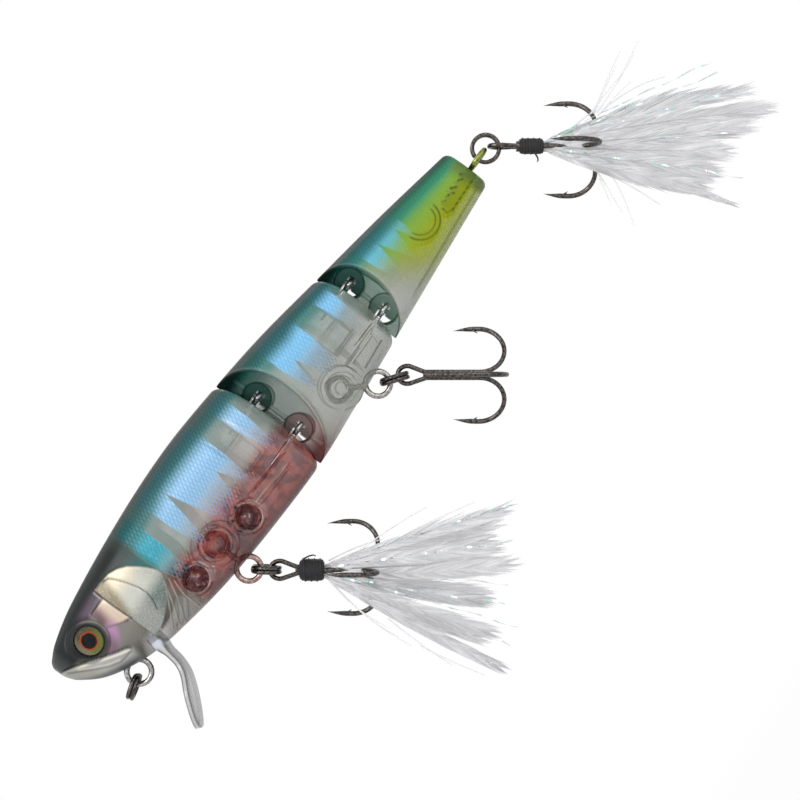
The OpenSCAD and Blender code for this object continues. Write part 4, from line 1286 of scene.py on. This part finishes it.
# Dressing: thread wrap, feathers and tinsel in the hook's own frame. Feathers and tinsel start at DRESS_X
WRAP_START, WRAP_END, WRAP_PITCH, WRAP_R = 3.78, 8.1, .27, 1.47
DRESS_X, QUILL_STEPS, TINSEL_STEPS, TINSEL_W = 7.9, 40, 46, .32
BARBS, BARB_WIDTHS = 130, np.array([.34, .4, .38, .32, .22, .12, .03])


def wrap_mesh(swollen, tag):
    """Thread wound on a core, a coarser turn across it and the thread's loose end."""
    r, turns = WRAP_R * swollen, (WRAP_END - WRAP_START) / WRAP_PITCH
    t = np.linspace(0, turns, int(turns * 22))
    share = t / turns
    swell = 1 + .05 * np.sin(share * math.pi) - .14 * smooth(share, .12, 0) - .1 * smooth(share, .9, 1)

    def turned(x, angle, radius):
        return np.stack([x, radius * np.cos(angle), radius * np.sin(angle)], 1)

    cross = np.linspace(0, 3.4, 80)
    core = [(x, 0, 0) for x in np.linspace(3.6, 8.25, 12)]
    return joined([sweep(core, r * np.array([.72] + [.95] * 10 + [.8]), 28),
                   sweep(turned(WRAP_START + t * WRAP_PITCH, t * 2 * math.pi, r * swell), .16, 7),
                   sweep(turned(4.2 + cross * 1.05, cross * 2 * math.pi + 1, r * 1.13 + 0 * cross), .13, 6),
                   sweep(tag, [.17, .17, .16, .14, .1], 6)])


def blade(path, width, flat):
    """Flat tapered strip along a path, lying across the direction flat."""
    side = unit(np.cross(unit(np.gradient(path, axis=0)), flat))
    off = side * np.asarray(width)[:, None] / 2
    n = len(path)
    points = np.concatenate([path - off, path + off])
    return points, [(i, i + 1, n + i + 1, n + i) for i in range(n - 1)]


def feather(tip, half, lift, curl=0.0):
    """Parts of one feather: its quill and the webbed barbs on both sides, from the wrap to the tip."""
    tip = np.array(tip, float)
    root = np.array([DRESS_X, tip[1] * .06, tip[2] * .06])
    out = unit(tip * [0, 1, 1])
    knee = (root + tip) / 2 + out * lift + np.array([0, 0, curl])
    quill = bezier(root, knee, tip, np.linspace(0, 1, QUILL_STEPS))
    reach = np.linalg.norm(tip - root)
    way = unit(np.gradient(quill, axis=0))
    flat = unit(np.array([0, -1 if tip[1] < 3 else 1, 0]) + .45 * out)
    parts = [sweep(quill, np.linspace(.2, .05, QUILL_STEPS), 6)]
    split = 0.0
    for side in (-1, 1):
        for i in range(BARBS):
            t = .03 + .95 * (i + DRAW.random() * .5) / BARBS
            if DRAW.random() < .14:
                split = DRAW.uniform(-1, 1)
            step = t * (QUILL_STEPS - 1)
            j = min(int(step), QUILL_STEPS - 2)
            at = quill[j] + (quill[j + 1] - quill[j]) * (step - j)
            along = way[j]
            across = unit(np.cross(flat, along))
            open_a = math.radians(21 - 8 * t)
            vane = half * float(smooth(t, -.25, .55)) * (1 - .5 * float(smooth(t, .75, 1)))
            length = vane / math.sin(open_a) * DRAW.uniform(.82, 1.05) * (1 + .12 * split)
            length = min(length, (1 - t) * reach * DRAW.uniform(.85, 1) + DRAW.uniform(.8, 3.2))
            s = np.linspace(0, 1, len(BARB_WIDTHS))[:, None]
            bow = length * s * (along * math.cos(open_a) + side * across * math.sin(open_a))
            bow = bow + across * length * (-side * .12 * s ** 2 + .055 * split * s ** 3)
            bow = bow + flat * (.35 * (1 - s) * s + (DRAW.uniform(-.12, .12) + .3 * split) * s ** 2)
            tilt = flat + across * (.12 * side + DRAW.uniform(-.06, .06))
            parts.append(blade(at + bow, BARB_WIDTHS, tilt))
    return parts


def loose_barbs(ends):
    """Single stray barbs."""
    parts = []
    for root, tip, bow in ends:
        root, tip = np.array(root, float), np.array(tip, float)
        knee = (root + tip) / 2 + np.array([0, 0, bow])
        parts.append(sweep(bezier(root, knee, tip, np.linspace(0, 1, 12)), np.linspace(.16, .09, 12), 5))
    return parts


def strand(tip, bow, twist):
    """One waving, twisted strand of tinsel."""
    tip = np.array(tip, float)
    root = np.array([DRESS_X, tip[1] * .04, tip[2] * .04])
    share = np.linspace(0, 1, TINSEL_STEPS)
    path = bezier(root, (root + tip) / 2 + np.array([0, 0, bow]), tip, share)
    sway = np.stack([0 * share, .25 * np.sin(share * 19 + twist), .22 * np.sin(share * 23 + twist * 2)], 1)
    turn = twist + share * 14
    flat = np.stack([0 * share, -np.cos(turn), np.sin(turn)], 1)
    return blade(path + sway * share[:, None], np.full(TINSEL_STEPS, TINSEL_W), flat)


# Feathers: tip, half width, lift of the middle and its curl; the last ones fill the far side
PLUMES = {
    "front": [((41.2, -3, 11.2), 2.3, .3), ((39.4, -4, 4.6), 2.7, .4), ((42, -5, 1.6), 2.5, .2, -2.2),
              ((40.2, -2.6, -17.4), 2.4, .4), ((38.6, -3.6, -11), 2.4, .6), ((37.4, -1, -5.4), 2.6, .4, -1),
              ((39.6, 1, 8.4), 2.4, .6), ((37, 3.4, -12.8), 2.6, .8),
              ((40, 8.4, .6), 3.6, 1), ((38.6, 7.4, 5), 3.2, 1), ((38, 7.4, -5.4), 3.2, 1),
              ((30, 6.8, 0), 3.4, .8)],
    "tail": [((48.8, -3, 6.2), 3, .6, .8), ((45, -2, 9.7), 2.6, .8, 1), ((44.6, -5, 3), 3.4, .2, -.8),
             ((43, -2.6, -11), 1.2, .3, 1.4), ((36.6, -3.6, -7.4), 3.2, .6, -1.2),
             ((41, -4.2, -1.4), 3.4, .4, -.4), ((41, .6, 10.2), 2.4, 1, 1), ((39.6, 2.4, -4.6), 3.2, .6),
             ((37, -4.4, -4.6), 3, .4, -.6), ((41, 8.4, 1), 3.6, 1), ((39, 7.4, 5.6), 3.2, 1),
             ((38.4, 7.2, -4.6), 3.2, 1), ((31, 6.8, 0), 3.4, .8)],
}
# Stray barbs: root, tip and bow
STRAYS = {
    "front": [((14, -.5, 3), (27.2, -1, 11.7), .8), ((9, -1, -1.8), (24.4, -2, -13.8), -2.2),
              ((9, -1, -1.8), (20.4, -2, -10.6), -2), ((9, .5, -1.6), (22, 0, -12.4), -2.4),
              ((20, 0, -9), (32, -1, -17.6), -.6), ((26, -1, -14), (38, -1, -19.4), -.4),
              ((9, 1, 1.6), (19, 1, 5.6), .8), ((24, -1, 7), (36, -1, 12.6), .3)],
    "tail": [((17.6, -.5, 6.4), (22.4, -1, 17.4), .8), ((18, -.5, 6), (25.7, -1, 19.4), -1.6),
             ((17.6, 0, 6), (21.8, .5, 15), .6), ((18.4, .4, 5.8), (24.6, 1, 12.2), .4),
             ((18, 0, 6.4), (25, 0, 17), -1), ((19, .6, 6.6), (31, .5, 13), 2),
             ((17, -.5, 6), (22, -1, 12.4), .4), ((20, -.5, -4.6), (24.9, -1, -14.8), 2.6),
             ((18, 0, -4.4), (22.8, 0, -12.2), .4), ((20, .5, -5), (30, .8, -10.8), .6),
             ((18.6, -.5, -6), (20.7, -1, -11), .2), ((13, .4, 3), (18.6, .6, 7), .6)],
}
# Tinsel: tip, bow and twist
STRANDS = {
    "front": [((44, -3.5, 12.6), .6, 0), ((43, -9.4, 6), .4, 2), ((43.4, -9.6, -9.4), .4, 1),
              ((42.4, -3.5, -13.4), 1, 3), ((43, 12.8, -4), .4, 4), ((43, 12.8, 4), .4, 5),
              ((41.4, -5.6, -5.6), -1, 6)],
    "tail": [((39, -3.2, 15), .6, 0), ((40.6, -3.4, 13.2), .2, 2), ((44.4, -9.4, 9), .6, 4),
             ((43.4, -9.6, -7), .4, 1), ((43, 12.8, -4), .4, 3), ((43, 12.8, 4), .4, 5),
             ((43, -5.4, 1.6), -.4, 6)],
}
WRAP_SWELL = {"front": 1.26, "tail": .88}
TAGS = {"front": [(4.1, -.5, 1.7), (4.6, -.6, 2.2), (5.4, -.6, 2.6), (6.2, -.5, 2.8), (6.7, -.4, 2.6)],
        "tail": [(6.6, -.6, -1.2), (6.8, -.8, -1.7), (7.1, -.9, -2.2), (7.2, -.9, -2.7), (7, -.9, -3)]}
THREAD, FEATHER, TINSEL = thread_black(), feather_white(), tinsel_pearl()
for which in PLUMES:
    at, body = HOOK_EYES[which], which + "_hook"
    points, faces = wrap_mesh(WRAP_SWELL[which], TAGS[which])
    winding = new_object(which + "_thread_winding", on_hook(points, at), faces, [THREAD], sharp=60)
    dress(winding, body, "thread", which + "_thread_wrap")
    strays = loose_barbs(STRAYS[which])
    parts = [part for plume in PLUMES[which] for part in feather(*plume)] + strays
    points, faces = joined(parts)
    plume = new_object(which + "_feather_barbs", on_hook(points, at), faces, [FEATHER], sharp=70)
    tones = random_tones(parts)
    tones[-len(joined(strays)[0]):] = 1.2
    set_field(plume.data, "tone", tones)
    set_field(plume.data, "tip", np.concatenate([tip_share(p) for p, _ in parts]))
    dress(plume, body, "feather", which + "_feathers")
    points, faces = joined([strand(*s) for s in STRANDS[which]])
    strands = new_object(which + "_tinsel_strands", on_hook(points, at), faces, [TINSEL], sharp=70)
    dress(strands, body, "tinsel", which + "_tinsel")

# Camera, floor and light, in metres but for the sensor. The camera's roll lays the hooks level in the picture
SENSOR_MM, FLOOR_Z, FLOOR_HALF = 36.0, -.125, 4
LAMP_AIM = Vector((.07, 0, 0))
AMBIENT = .42

roll = math.radians(HOOK_DIP)
right, up = np.array([math.cos(roll), 0, -math.sin(roll)]), np.array([math.sin(roll), 0, math.cos(roll)])
camera = bpy.data.objects.new("camera", bpy.data.cameras.new("camera"))
SCENE.collection.objects.link(camera)
spot = in_frame(np.array(VIEW_CENTRE) - [0, DISTANCE, 0])
camera.matrix_world = Matrix([[right[i], up[i], (0, -1, 0)[i], spot[i]] for i in range(3)] + [[0, 0, 0, 1]])
camera.data.sensor_width = SENSOR_MM
camera.data.lens = SENSOR_MM * DISTANCE / VIEW_MM
camera.data.clip_start, camera.data.clip_end = .01, 20
SCENE.camera = camera


def seen_directly(nodes, links):
    """1 for rays from the camera, mirrored in gloss or through clear plastic."""
    path = nodes.new("ShaderNodeLightPath")
    last = path.outputs["Is Camera Ray"]
    for name in ("Is Glossy Ray", "Is Transmission Ray"):
        either = nodes.new("ShaderNodeMath")
        either.operation = "MAXIMUM"
        links.new(last, either.inputs[0])
        links.new(path.outputs[name], either.inputs[1])
        last = either.outputs[0]
    return last


floor_mesh = bpy.data.meshes.new("floor")
floor_corners = [(x * FLOOR_HALF, y * FLOOR_HALF, FLOOR_Z) for x, y in ((-1, -1), (1, -1), (1, 1), (-1, 1))]
floor_mesh.from_pydata(floor_corners, [], [(0, 1, 2, 3)])
floor = bpy.data.objects.new("floor", floor_mesh)
SCENE.collection.objects.link(floor)
pale = Paint("pale_floor", base_color=(.92, .92, .92), roughness=.9)
x, y, _ = pale.place()
away = pale.gap(x, y, 79, 0)
seen = Num(pale, seen_directly(pale.nodes, pale.links))
pale.show_mix(seen * (pale.rise(away, 60, 125) * .15 + .85), pale.shader, pale.add("Emission"))
floor_mesh.materials.append(pale.material)

world = bpy.data.worlds.new("studio")
SCENE.world = world
world.use_nodes = True
tree = world.node_tree
level = tree.nodes.new("ShaderNodeMath")
level.operation = "MULTIPLY_ADD"
level.inputs[1].default_value = 1 - AMBIENT
level.inputs[2].default_value = AMBIENT
tree.links.new(seen_directly(tree.nodes, tree.links), level.inputs[0])
tree.nodes["Background"].inputs[0].default_value = (1, 1, 1, 1)
tree.links.new(level.outputs[0], tree.nodes["Background"].inputs[1])


def lamp(name, place, size, watts):
    light = bpy.data.lights.new(name, "AREA")
    light.energy, light.size = watts, size
    ob = bpy.data.objects.new(name, light)
    SCENE.collection.objects.link(ob)
    ob.location = place
    ob.rotation_euler = (ob.location - LAMP_AIM).to_track_quat("Z", "Y").to_euler()


lamp("key", (-.15, -.55, .5), .5, 3.2)
lamp("fill", (.45, -.5, .1), .6, 1.4)
lamp("back_light", (.1, .6, .4), .6, 2.0)

SCENE.view_settings.view_transform = "Standard"
SCENE.cycles.transparent_max_bounces = 40
SCENE.cycles.max_bounces = 16
SCENE.cycles.transmission_bounces = 12
